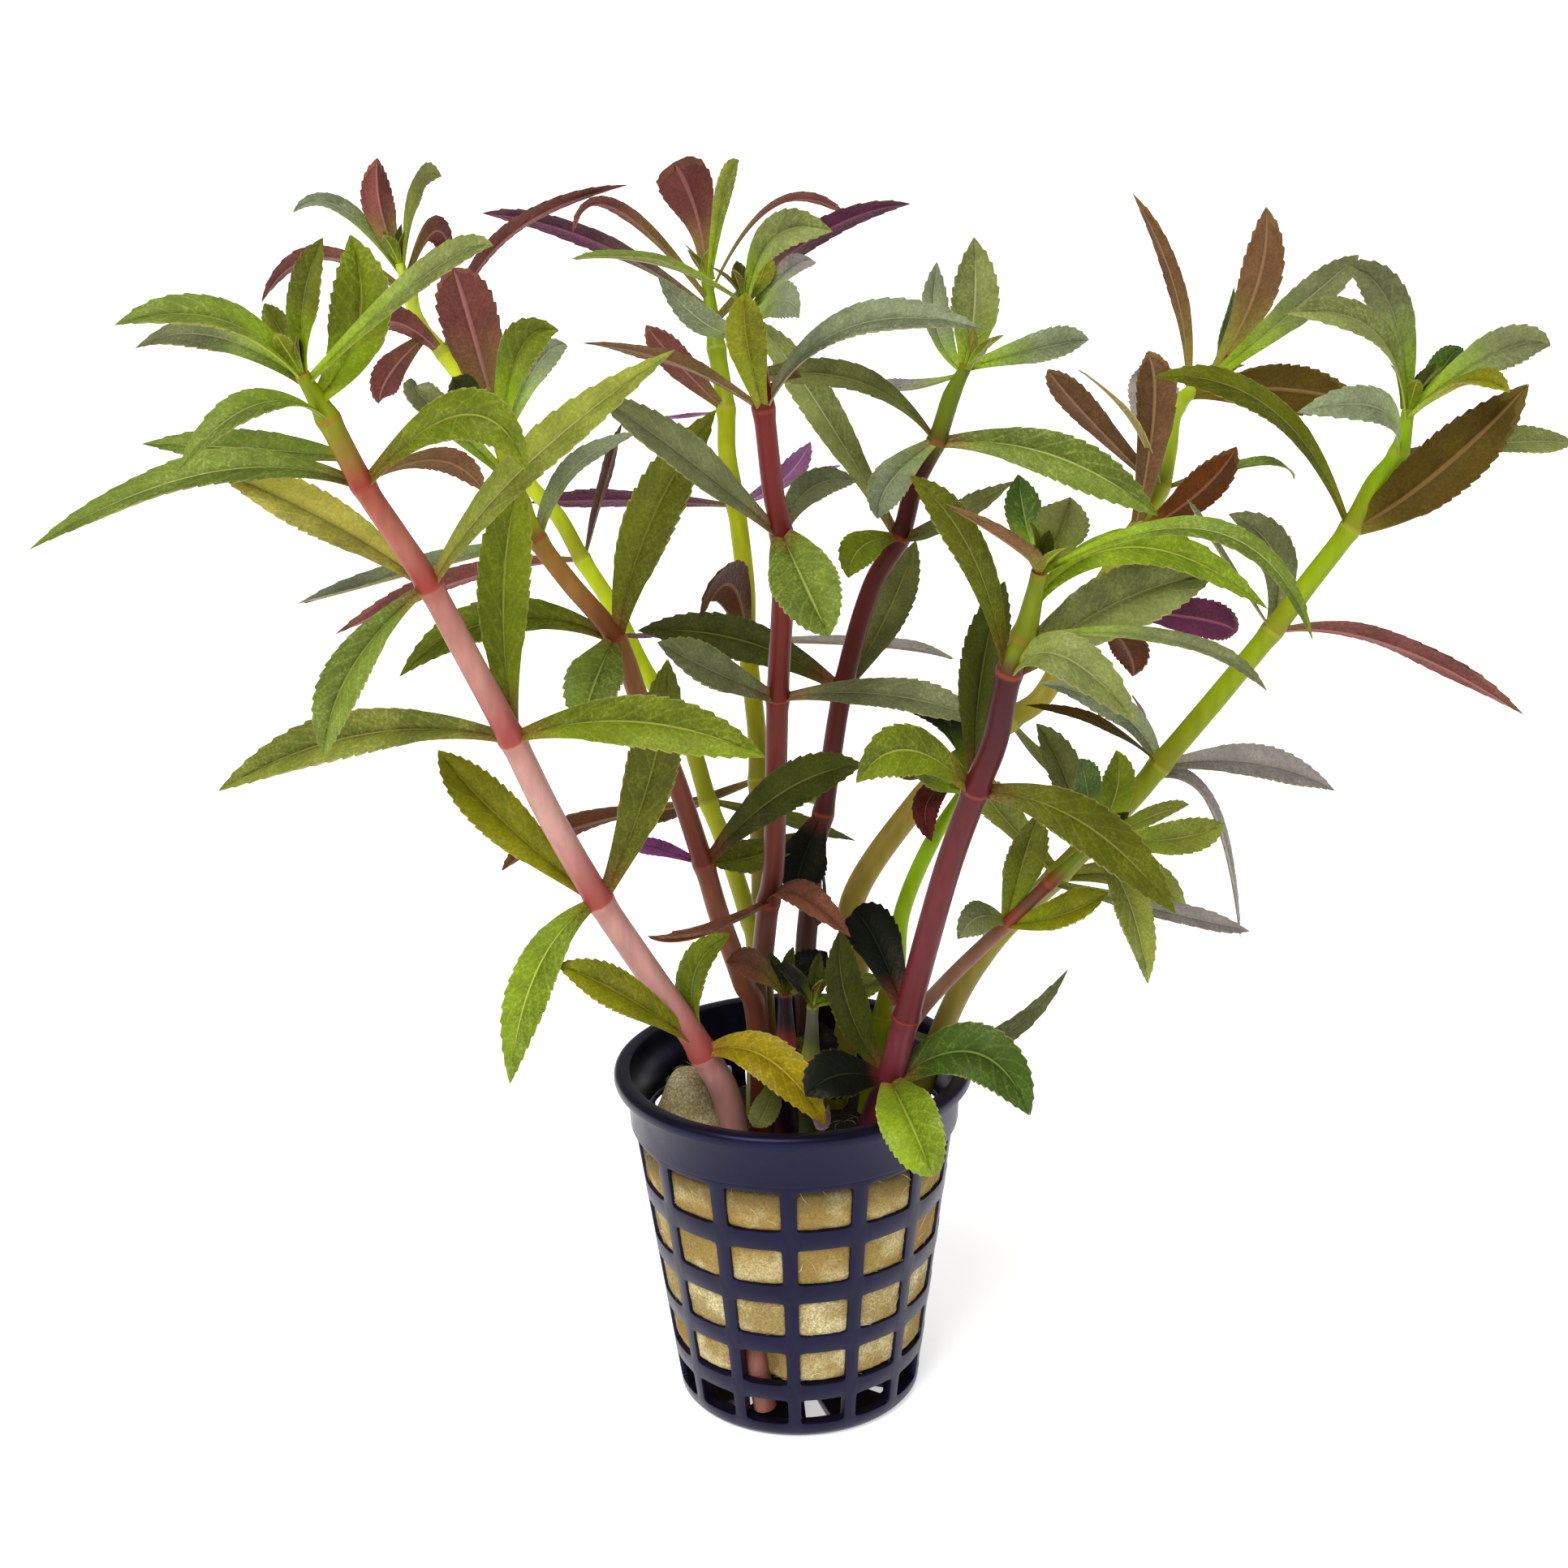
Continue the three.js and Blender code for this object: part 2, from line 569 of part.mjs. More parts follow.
// The wool: a lump that fills the pot below the band, parted where the stems go in.
function woolBody() {
  const clear = wallThickness + gap + 0.2;
  const profile = [
    [0, woolBottom],
    [wallRadius(woolBottom) - clear - 2, woolBottom],
    [wallRadius(woolBottom + 2) - clear, woolBottom + 2],
    [wallRadius(woolTop - 2) - clear, woolTop - 2],
    [wallRadius(woolTop) - clear - 3, woolTop + 0.5],
    [8, woolTop + 2],
    [0, woolTop + 1],
  ].map(([radius, z]) => new THREE.Vector2(radius, z));
  const lump = new THREE.LatheGeometry(profile, columns, firstColumn);
  return solid(lump.rotateX(Math.PI / 2));
}

const looks = {
  pot: { color: '#2b2838', roughness: 0.38 },
  wool: { color: '#b3a066', roughness: 0.95 },
  red_stem: { color: '#a8605a', roughness: 0.5 },
  green_stem: { color: '#a3b52a', roughness: 0.5 },
  green_leaf: { color: '#5f7d22', roughness: 0.5 },
  bronze_leaf: { color: '#6b3a34', roughness: 0.5 },
};
const materials = {};
for (const [name, look] of Object.entries(looks)) {
  materials[name] = new THREE.MeshStandardMaterial({ ...look, metalness: 0 });
}

const group = new THREE.Group();

function place(name, body, material) {
  const mesh = new THREE.Mesh(geometryOf(body), materials[material]);
  mesh.name = name;
  group.add(mesh);
}

const pot = windowCuts().reduce((body, cut) => body.subtract(cut), potBody());
place('net_pot', pot, 'pot');

let wool = woolBody();
for (const [name, stem] of Object.entries(stems)) {
  stem.name = name;
  routes[name] = routeOf(stem);
  wool = wool.subtract(solid(loft(stemRings(stem, gap))));
  let body = solid(loft(stemRings(stem)));
  for (const row of stem.crown) body = body.add(leafBody(stem, row, true));
  place(`stem_${name}`, body, `${stem.colour}_stem`);
  stem.leaves.forEach((row, i) => {
    const upperSideShows = row.at(-1) > 0;
    const look = upperSideShows ? 'green_leaf' : 'bronze_leaf';
    place(`leaf_${name}_${i + 1}`, leafBody(stem, row, false), look);
  });
}
place('rock_wool', wool, 'wool');

export default group;
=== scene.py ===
import math
import random

import bmesh
import bpy
import numpy as np
from mathutils import Matrix, Vector


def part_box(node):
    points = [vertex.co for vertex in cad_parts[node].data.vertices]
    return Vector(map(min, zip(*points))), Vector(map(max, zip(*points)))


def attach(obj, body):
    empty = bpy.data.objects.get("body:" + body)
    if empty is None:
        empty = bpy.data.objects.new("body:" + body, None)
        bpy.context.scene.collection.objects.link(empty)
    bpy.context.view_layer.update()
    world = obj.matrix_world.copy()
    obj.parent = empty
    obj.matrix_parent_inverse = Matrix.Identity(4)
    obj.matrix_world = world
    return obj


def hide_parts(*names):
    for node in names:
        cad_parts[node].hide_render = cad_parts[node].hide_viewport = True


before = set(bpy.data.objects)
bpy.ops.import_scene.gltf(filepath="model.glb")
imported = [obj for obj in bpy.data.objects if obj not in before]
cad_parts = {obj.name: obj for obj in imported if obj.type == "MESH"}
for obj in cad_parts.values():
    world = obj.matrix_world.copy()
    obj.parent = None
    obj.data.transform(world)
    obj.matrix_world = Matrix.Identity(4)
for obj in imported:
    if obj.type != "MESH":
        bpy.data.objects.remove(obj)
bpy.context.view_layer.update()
mm = 0.001  # the plant and the pot are measured in millimetres

# small helpers that every piece uses


def clearSelection():
    bpy.ops.object.select_all(action="DESELECT")


def pickOnly(piece):
    clearSelection()
    piece.select_set(True)
    bpy.context.view_layer.objects.active = piece


def editOn():
    bpy.ops.object.mode_set(mode="EDIT")
    bpy.ops.mesh.select_all(action="DESELECT")


def editOff():
    bpy.ops.object.mode_set(mode="OBJECT")


def faceOutwards():
    # in edit mode: turns every face to the outside
    bpy.ops.mesh.select_all(action="SELECT")
    bpy.ops.mesh.normals_make_consistent(inside=False)


def pickParts(kind, test):
    # in edit mode: selects the vertices, edges or faces whose middle passes the test
    bpy.ops.mesh.select_mode(type=kind)
    bpy.ops.mesh.select_all(action="DESELECT")
    mesh = bpy.context.object.data
    shape = bmesh.from_edit_mesh(mesh)
    if kind == "VERT":
        for vertex in shape.verts:
            vertex.select_set(test(vertex.co))
    elif kind == "EDGE":
        for edge in shape.edges:
            edge.select_set(test((edge.verts[0].co + edge.verts[1].co) / 2))
    else:
        for face in shape.faces:
            face.select_set(test(face.calc_center_median()))
    bmesh.update_edit_mesh(mesh)


def applyModifier(piece, kind, **values):
    pickOnly(piece)
    modifier = piece.modifiers.new(kind.title(), kind)
    for name, value in values.items():
        setattr(modifier, name, value)
    bpy.ops.object.modifier_apply(modifier=modifier.name)


def joinPieces(pieces, name):
    clearSelection()
    for piece in pieces:
        piece.select_set(True)
    bpy.context.view_layer.objects.active = pieces[0]
    if len(pieces) > 1:
        bpy.ops.object.join()
    joined = bpy.context.object
    joined.name = name
    joined.data.name = name
    return joined


def smoothByAngle(piece, degrees):
    pickOnly(piece)
    bpy.ops.object.shade_smooth_by_angle(angle=math.radians(degrees))


def setNumbers(mesh, name, numbers):
    # one number for each point, which the material reads by its name
    layer = mesh.attributes.new(name, "FLOAT", "POINT")
    layer.data.foreach_set("value", numbers)


def settleOrder(piece):
    # extruding leaves the faces in another order in every run, so all is numbered anew by its place
    mesh = piece.data
    points = sorted(mesh.vertices, key=lambda vertex: vertex.co[:])
    number = {vertex.index: index for index, vertex in enumerate(points)}
    faces = []
    for face in mesh.polygons:
        corners = [number[index] for index in face.vertices]
        first = corners.index(min(corners))
        faces.append(corners[first:] + corners[:first])
    places = [vertex.co.copy() for vertex in points]
    mesh.clear_geometry()
    mesh.from_pydata(places, [], sorted(faces))


def turnProfile(name, profile, sides, firstAngle, closed):
    # a ring at the first profile point is extruded through the others, as (radius, height)
    clearSelection()
    radius, height = profile[0]
    bpy.ops.mesh.primitive_circle_add(vertices=sides, radius=radius, location=(0, 0, height),
                                      rotation=(0, 0, firstAngle))
    piece = bpy.context.object
    piece.name = name
    bpy.ops.object.transform_apply(location=True, rotation=True)
    editOn()
    bpy.ops.mesh.select_all(action="SELECT")
    for nextRadius, nextHeight in profile[1:]:
        bpy.ops.mesh.extrude_region_move(TRANSFORM_OT_translate={"value": (0, 0, nextHeight - height)})
        bpy.ops.transform.resize(value=(nextRadius / radius, nextRadius / radius, 1),
                                 center_override=(0, 0, nextHeight))
        radius, height = nextRadius, nextHeight
    if closed:
        bpy.ops.mesh.select_all(action="SELECT")
        bpy.ops.mesh.region_to_loop()
        bpy.ops.mesh.bridge_edge_loops()
        faceOutwards()
    editOff()
    settleOrder(piece)
    return piece


# nodes for the materials


def paint(code):
    # "#rrggbb" as the linear colour that a socket takes
    parts = [int(code[i:i + 2], 16) / 255 for i in (1, 3, 5)]
    linear = [part / 12.92 if part <= 0.04045 else ((part + 0.055) / 1.055) ** 2.4 for part in parts]
    return (*linear, 1)


def newMaterial(name, **sockets):
    material = bpy.data.materials.new(name)
    material.use_nodes = True
    shader = material.node_tree.nodes["Principled BSDF"]
    for socket, value in sockets.items():
        shader.inputs[socket.replace("_", " ")].default_value = value
    return material.node_tree, shader, material


def feed(tree, socket, value):
    if isinstance(value, bpy.types.NodeSocket):
        tree.links.new(value, socket)
    else:
        socket.default_value = value


def addNode(tree, kind, **sockets):
    # each named socket takes a number, a colour or the output of another node
    node = tree.nodes.new("ShaderNode" + kind)
    for name, value in sockets.items():
        feed(tree, node.inputs[name.replace("_", " ")], value)
    return node


def mathNode(tree, operation, first, second=0.0, clamp=False):
    node = addNode(tree, "Math")
    node.operation = operation
    node.use_clamp = clamp
    feed(tree, node.inputs[0], first)
    feed(tree, node.inputs[1], second)
    return node.outputs[0]


def timesNode(tree, first, second):
    return mathNode(tree, "MULTIPLY", first, second)


def plusNode(tree, first, second):
    return mathNode(tree, "ADD", first, second)


def rangeNode(tree, value, fromLow, fromHigh, toLow=0.0, toHigh=1.0):
    node = addNode(tree, "MapRange", Value=value, From_Min=fromLow, From_Max=fromHigh,
                   To_Min=toLow, To_Max=toHigh)
    node.interpolation_type = "SMOOTHSTEP"
    return node.outputs[0]


def mixNode(tree, share, first, second):
    node = addNode(tree, "Mix")
    node.data_type = "RGBA"
    for index, value in ((0, share), (6, first), (7, second)):
        feed(tree, node.inputs[index], value)
    return node.outputs[2]


def noiseNode(tree, scale, detail=3.0, stretch=(1, 1, 1), roughness=0.55):
    place = addNode(tree, "TexCoord").outputs["Object"]
    stretched = addNode(tree, "Mapping", Vector=place, Scale=stretch).outputs["Vector"]
    noise = addNode(tree, "TexNoise", Vector=stretched, Scale=scale, Detail=detail, Roughness=roughness)
    return noise.outputs["Fac"]


def attributeNode(tree, name):
    node = addNode(tree, "Attribute")
    node.attribute_name = name
    return node.outputs["Fac"]


def rampNode(tree, value, positions, colours):
    node = addNode(tree, "ValToRGB", Fac=value)
    ramp = node.color_ramp
    while len(ramp.elements) < len(positions):
        ramp.elements.new(0.5)
    for element, position, colour in zip(ramp.elements, positions, colours):
        element.position = position
        element.color = paint(colour)
    return node.outputs["Color"]


def litNode(tree, colour, value):
    # a colour made lighter or darker, by a number round one
    return addNode(tree, "HueSaturation", Color=colour, Value=value).outputs["Color"]


def bumpNode(tree, shader, height, strength, distance):
    node = addNode(tree, "Bump", Height=height, Strength=strength, Distance=distance)
    feed(tree, shader.inputs["Normal"], node.outputs["Normal"])


# camera: the eye, the tilt and the lens that show the pot as the photograph does

cameraValues = {
    "eye": Vector((-0.4, -320, 195)) * mm,
    "tiltDown": 17.6,  # degrees
    "roll": -1.3,      # degrees
    "lens": 55.19,
    "sensor": 36,
}


def placeCamera():
    values = cameraValues
    tilt = math.radians(values["tiltDown"])
    roll = math.radians(values["roll"])
    forward = Vector((0, math.cos(tilt), -math.sin(tilt)))
    level = Vector((1, 0, 0))
    upright = level.cross(forward)
    right = level * math.cos(roll) + upright * math.sin(roll)
    up = upright * math.cos(roll) - level * math.sin(roll)
    clearSelection()
    bpy.ops.object.camera_add()
    camera = bpy.context.object
    camera.data.lens = values["lens"]
    camera.data.sensor_width = values["sensor"]
    camera.data.clip_start = 10 * mm
    camera.data.clip_end = 1000
    turn = Matrix((right, up, -forward)).transposed().to_4x4()
    camera.matrix_world = Matrix.Translation(values["eye"]) @ turn
    bpy.context.scene.camera = camera


placeCamera()
print("camera placed")

# studio: a white floor, a white sky and one large soft light from the upper left

studioValues = {
    "floorSize": 400,
    "floorBelow": 0.2 * mm,    # the foot of the pot
    "floorColours": ("#f4f4f4", "#ffffff"),
    "floorGlow": 0.5,          # lifts the floor to white, so shadows stay faint
    "skyColour": "#ffffff",
    "skyStrength": 0.56,       # for what the sky lights; the sky itself shows white
    "skyGloss": 0.3,           # as it shows in a gloss
    "sunStrength": 2.7,
    "sunAngle": 32,            # degrees, wide for soft shadows
    "sunTurn": (38, 0, -28),   # degrees
    "sunPlace": (-0.4, -0.4, 0.8),
}


def buildStudio():
    values = studioValues
    clearSelection()
    bpy.ops.mesh.primitive_plane_add(size=values["floorSize"], location=(0, 0, 0))
    floor = bpy.context.object
    floor.name = "studioFloor"
    tree, shader, material = newMaterial("studioPaper", Roughness=0.9, Emission_Color=paint("#ffffff"),
                                         Emission_Strength=values["floorGlow"])
    grain = noiseNode(tree, 3.0)
    feed(tree, shader.inputs["Base Color"], rampNode(tree, grain, (0, 1), values["floorColours"]))
    floor.data.materials.append(material)
    floor.location.z = -values["floorBelow"]
    bpy.ops.object.transform_apply(location=True)

    world = bpy.data.worlds.new("studioSky")
    world.use_nodes = True
    tree = world.node_tree
    sky = tree.nodes["Background"]
    sky.inputs["Color"].default_value = paint(values["skyColour"])
    path = addNode(tree, "LightPath").outputs
    lighting = rangeNode(tree, path["Is Glossy Ray"], 0, 1, values["skyStrength"], values["skyGloss"])
    feed(tree, sky.inputs["Strength"], mathNode(tree, "MAXIMUM", lighting, path["Is Camera Ray"]))
    bpy.context.scene.world = world

    clearSelection()
    bpy.ops.object.light_add(type="SUN", location=values["sunPlace"])
    sun = bpy.context.object
    sun.rotation_euler = [math.radians(turn) for turn in values["sunTurn"]]
    sun.data.energy = values["sunStrength"]
    sun.data.angle = math.radians(values["sunAngle"])
    bpy.context.scene.view_settings.view_transform = "Standard"


buildStudio()
print("studio lit")

# net pot: a tapered wall with windows and a slotted floor, and a rim with a rounded lip

potLow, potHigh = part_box("net_pot")
potValues = {
    "height": potHigh.z,
    "lipRadius": (potHigh.x - potLow.x) / 2,
    "mouthRadius": 23.5 * mm,
    "lipThickness": 2 * mm,
    "bandBottom": 43.1 * mm,
    "bandRadius": 24.1 * mm,
    "wallTopRadius": 23.3 * mm,
    "baseRadius": 17.7 * mm,
    "footRound": ((1.1, 0), (0.45, 0.2)),  # in from the base and up, millimetres
    "footHeight": 0.9 * mm,
    "wallThickness": 1.4 * mm,
    "columns": 14,
    "facesPerColumn": 9,       # seven across a window, two across a bar
    "windowAngle": math.radians(20),
    "windowRows": [(2.4, 6.6), (9.2, 14.9), (17.7, 23.5), (26.5, 32.4), (35.4, 42)],
    "firstColumn": math.radians(10),
    "cornerRadius": 0.5 * mm,
    "cornerShift": 0.28,       # of the corner radius, into the window
    "edgeRounding": 0.2 * mm,
    "floorHole": 1.5 * mm,     # closed by one face, so the floor has no pole
    "slotFrom": 7.5 * mm,
    "slotTo": 14.5 * mm,
    "slotCount": 7,
    "slotAngle": math.radians(12),
    # the rim from its lower inner edge round: a radius and how far out from it, then a level and how far
    # up from it, in millimetres
    "rimSection": (
        ("wall", -1.2, "bottom", 0), ("band", -0.65, "bottom", 0), ("band", -0.35, "bottom", 0.15),
        ("band", -0.25, "bottom", 0.5), ("band", 0, "under", -0.5), ("band", 0.25, "under", -0.12),
        ("band", 0.6, "under", 0), ("lip", -0.5, "under", 0), ("lip", -0.12, "under", 0.25),
        ("lip", 0, "under", 0.7), ("lip", 0, "top", -0.8), ("lip", -0.12, "top", -0.35),
        ("lip", -0.5, "top", -0.06), ("lip", -0.9, "top", 0), ("mouth", 0.6, "top", 0),
        ("mouth", 0.2, "top", -0.15), ("mouth", 0, "top", -0.6), ("wall", -1.35, "bottom", 0.3),
    ),
    "rimSides": 168,
    "rimOverlap": 0.2 * mm,    # down over the top of the wall
    "colours": ("#05050b", "#0e0c1d"),
    "roughness": (0.28, 0.42),
    "sheen": "#b4acff",
}


def wallRadius(height):
    share = height / potValues["bandBottom"]
    return potValues["baseRadius"] + share * (potValues["wallTopRadius"] - potValues["baseRadius"])


def turnFromColumn(point, count):
    # how far round the pot a point stands from the middle of the nearest of `count` columns
    pitch = 2 * math.pi / count
    turn = math.atan2(point.x, -point.y) - potValues["firstColumn"]
    return (turn + pitch / 2) % pitch - pitch / 2


def inWindow(point):
    if abs(turnFromColumn(point, potValues["columns"])) > potValues["windowAngle"] / 2:
        return False
    return any(low * mm < point.z < high * mm for low, high in potValues["windowRows"])


def inSlot(point):
    radius = math.hypot(point.x, point.y)
    if abs(turnFromColumn(point, potValues["slotCount"])) > potValues["slotAngle"] / 2:
        return False
    return potValues["slotFrom"] < radius < potValues["slotTo"] and point.z < mm


def roundWindowCorners():
    # each corner moves a little into its window, so the opening reads as rounded
    values = potValues
    step = values["cornerRadius"] * values["cornerShift"]
    reach = math.radians(0.5)  # of a corner, and so is 0.05 mm up and down
    for low, high in values["windowRows"]:
        for height, lift in ((low * mm, step), (high * mm, -step)):
            for side in (-1, 1):
                edge = side * values["windowAngle"] / 2

                def isCorner(point):
                    near = abs(turnFromColumn(point, values["columns"]) - edge) < reach
                    return near and abs(point.z - height) < 0.05 * mm
                pickParts("VERT", isCorner)
                bpy.ops.transform.translate(value=(0, 0, lift))
                bpy.ops.transform.rotate(value=side * step / wallRadius(height), orient_axis="Z",
                                         center_override=(0, 0, 0))


def modelPotWall():
    values = potValues
    base = values["baseRadius"]
    foot = values["footHeight"]
    profile = [(values["floorHole"], 0), (values["slotFrom"], 0), (values["slotTo"], 0)]
    profile += [(base - inwards * mm, up * mm) for inwards, up in values["footRound"]]
    profile.append((wallRadius(foot), foot))
    corner = values["cornerRadius"]
    for low, high in values["windowRows"]:
        for height in (low * mm, low * mm + corner, high * mm - corner, high * mm):
            profile.append((wallRadius(height), height))
    profile.append((values["wallTopRadius"], values["bandBottom"]))
    sides = values["columns"] * values["facesPerColumn"]
    wall = turnProfile("potWall", profile, sides, values["firstColumn"] + math.pi / sides, False)
    pickOnly(wall)
    editOn()
    hole = values["floorHole"] + 0.1 * mm
    pickParts("EDGE", lambda point: math.hypot(point.x, point.y) < hole and point.z < 0.1 * mm)
    bpy.ops.mesh.edge_face_add()
    pickParts("FACE", lambda point: inWindow(point) or inSlot(point))
    bpy.ops.mesh.delete(type="FACE")
    roundWindowCorners()
    faceOutwards()
    editOff()
    applyModifier(wall, "SOLIDIFY", thickness=values["wallThickness"], offset=-1)
    applyModifier(wall, "BEVEL", width=values["edgeRounding"], segments=2,
                  limit_method="ANGLE", angle_limit=math.radians(50))
    return wall


def modelPotRim():
    values = potValues
    radii = {"wall": values["wallTopRadius"], "band": values["bandRadius"],
             "lip": values["lipRadius"], "mouth": values["mouthRadius"]}
    levels = {"top": values["height"], "under": values["height"] - values["lipThickness"],
              "bottom": values["bandBottom"] - values["rimOverlap"]}
    profile = [(radii[ring] + out * mm, levels[level] + up * mm)
               for ring, out, level, up in values["rimSection"]]
    return turnProfile("potRim", profile, values["rimSides"], values["firstColumn"], True)


def potPlastic():
    values = potValues
    tree, shader, material = newMaterial("potPlastic", Roughness=0.34, Specular_IOR_Level=0.34,
                                         Specular_Tint=paint(values["sheen"]))
    mottle = noiseNode(tree, 90, 4)
    feed(tree, shader.inputs["Base Color"], rampNode(tree, mottle, (0.3, 0.7), values["colours"]))
    feed(tree, shader.inputs["Roughness"], rangeNode(tree, mottle, 0.3, 0.7, *values["roughness"]))
    bumpNode(tree, shader, noiseNode(tree, 420, 2), 0.25, 0.1 * mm)
    return material


def buildPot():
    pot = joinPieces([modelPotWall(), modelPotRim()], "netPot")
    pot.data.materials.clear()
    pot.data.materials.append(potPlastic())
    smoothByAngle(pot, 40)
    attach(pot, "root")
    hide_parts("net_pot")


buildPot()
print("net pot built")

# rock wool: a lump that bulges into the windows, with loose fibres over it

woolLow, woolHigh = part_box("rock_wool")
woolValues = {
    "bottom": woolLow.z,
    "top": 43 * mm,
    "crown": woolHigh.z,
    "clear": 1.5 * mm,         # from the outside of the pot wall
    "pillowClear": 0.4 * mm,   # the same, where the wool fills a window
    "pillowWidth": 0.56,       # of a window's angle, to each side
    "pillowOver": 0.5,         # millimetres above and below the window
    "footRound": 1.5 * mm,
    "shoulder": 0.4 * mm,      # how far the upper edge lies in
    "ringStep": 0.7 * mm,
    "facesPerColumn": 14,
    "mouthStep": 1.2 * mm,
    "hub": 0.8 * mm,           # the middle of each end, closed at the last
    "dome": 1 * mm,
    "mouthKnob": (-15.6, 1, 50, 3.7),     # x, y, height and reach, at the left of the mouth
    "knobClear": 12,             # how much sooner the damp wool and painted shade end than the knob
    "hollow": (-6.4, -17.4, 12, 3.4, 3),  # x, y, z, reach and depth, in front of the cut stem
    "steep": 6,                # the edges of the knob and the hollow
    "lumps": ((4 * mm, 0.3 * mm), (0.9 * mm, 0.22 * mm)),  # size and strength of each
    "lumpMiddle": 0.55,        # a little under half of it stands proud
    "sunken": 4.5 * mm,        # how far the wool lies lower at the back of the mouth
    "sunkenFrom": (0.35, 12 * mm, 0.95),  # turn to the right, width of the slope, and where it starts
    "fibres": 900,
    "fibreLength": (1, 3.2),
    "fibreWidth": 0.06,
    "fibreWidthRange": (0.7, 1.2),
    "fibreBend": 0.35,         # of the length, at most
    "fibreLift": (0.02, 0.22),
    "fibreRings": 5,
    "fibreSides": 3,
    "smooth": ("#78622e", "#a48a4c"),     # where the wool is pressed flat
    "mealy": ("#86784e", "#b0a274", "#e4daae"),
    "mealyHeights": (27 * mm, 22 * mm),   # from smooth above to mealy below
    "coarseHeights": (17 * mm, 13 * mm),  # and to less mealy again
    "knobHeights": (42 * mm, 44.5 * mm),  # the knob is mealy too
    # near black over the top of the mouth: damp wool and painted shade
    "dampAndShade": "#16140f",
    "fibreColours": ("#a8925a", "#efe6c4"),
    "seed": 11,
}


def modelWoolLump():
    values = woolValues
    low, top = values["bottom"], values["top"]
    edge = wallRadius(low) - values["clear"]
    foot = low + values["footRound"]
    profile = [(values["hub"], low), (edge * 0.45, low), (edge - 2 * mm, low), (edge, foot)]
    height = foot + values["ringStep"]
    while height < top - 2 * mm:
        profile.append((wallRadius(height) - values["clear"], height))
        height += values["ringStep"]
    radius = wallRadius(top) - values["clear"] - values["shoulder"]
    profile.append((radius, top - 1 * mm))
    while radius > 2 * values["mouthStep"]:
        radius -= values["mouthStep"]
        profile.append((radius, top + values["dome"] * (1 - (radius / wallRadius(top)) ** 4)))
    profile.append((values["hub"], top + values["dome"]))
    sides = potValues["columns"] * values["facesPerColumn"]
    lump = turnProfile("woolLump", profile, sides, potValues["firstColumn"], False)
    pickOnly(lump)
    editOn()
    halfWidth = potValues["windowAngle"] * values["pillowWidth"]
    over = values["pillowOver"]
    for low, high in potValues["windowRows"][1:]:
        def inPillow(point):
            inside = abs(turnFromColumn(point, potValues["columns"])) < halfWidth
            return inside and (low - over) * mm < point.z < (high + over) * mm
        pickParts("VERT", inPillow)
        wall = wallRadius((low + high) / 2 * mm)
        bulge = (wall - values["pillowClear"]) / (wall - values["clear"])
        bpy.ops.transform.resize(value=(bulge, bulge, 1), center_override=(0, 0, 0))
    bpy.ops.mesh.select_all(action="SELECT")
    bpy.ops.mesh.vertices_smooth(factor=0.2, repeat=1)
    faceOutwards()
    editOff()
    return lump


def shapeMouth(lump):
    # the wool lies lower at the back of the mouth and is darker there, as damp wool and as painted shade; a
    # knob free of it stands up at the left, and a hollow in front shows the cut end of a stem
    values = woolValues
    x, y, top, reach = values["mouthKnob"]
    turn, slope, start = values["sunkenFrom"]
    shelf = values["top"] - values["sunken"] - 1 * mm
    *cut, hollowReach, hollowDepth = values["hollow"]
    dampAndShade = []
    for vertex in lump.data.vertices:
        place = vertex.co
        back = min(max((place.y + turn * place.x) / slope + start, 0), 1)
        above = min(max(0, place.z - shelf) / (values["top"] - shelf), 1)
        away = math.hypot(place.x - x * mm, place.y - y * mm) / (reach * mm)
        knob = 1 / (1 + away ** values["steep"]) if place.z > values["top"] - 0.5 * mm else 0
        place.z -= above * back * values["sunken"]
        place.z += (top * mm - place.z) * knob
        # damp wool and painted shade over the top of the mouth, but not on the knob
        dampAndShade.append(above * (1 - min(1, knob * values["knobClear"])))
        hollow = (Vector(cut) * mm - place).length / (hollowReach * mm)
        depth = hollowDepth * mm / (1 + hollow ** values["steep"])
        place.xy *= 1 - depth / max(place.xy.length, mm)
    setNumbers(lump.data, "dampAndShade", dampAndShade)


def roughenWool(lump):
    applyModifier(lump, "SUBSURF", levels=1, render_levels=1)
    editOn()
    pickParts("EDGE", lambda point: point.xy.length < woolValues["hub"] * 1.05)
    bpy.ops.mesh.edge_face_add()
    faceOutwards()
    editOff()
    for size, strength in woolValues["lumps"]:
        clouds = bpy.data.textures.new("woolClouds", "CLOUDS")
        clouds.noise_scale = size
        clouds.noise_depth = 3
        applyModifier(lump, "DISPLACE", texture=clouds, texture_coords="LOCAL", strength=strength,
                      mid_level=woolValues["lumpMiddle"])


def surfacePoints(piece, count, dice):
    # seeded points over the faces of a piece, each with the outward direction there
    faces = piece.data.polygons
    areas = np.array([face.area for face in faces])
    picks = dice.choices(range(len(faces)), weights=areas, k=count)
    return [(faces[index].center.copy(), faces[index].normal.copy()) for index in picks]


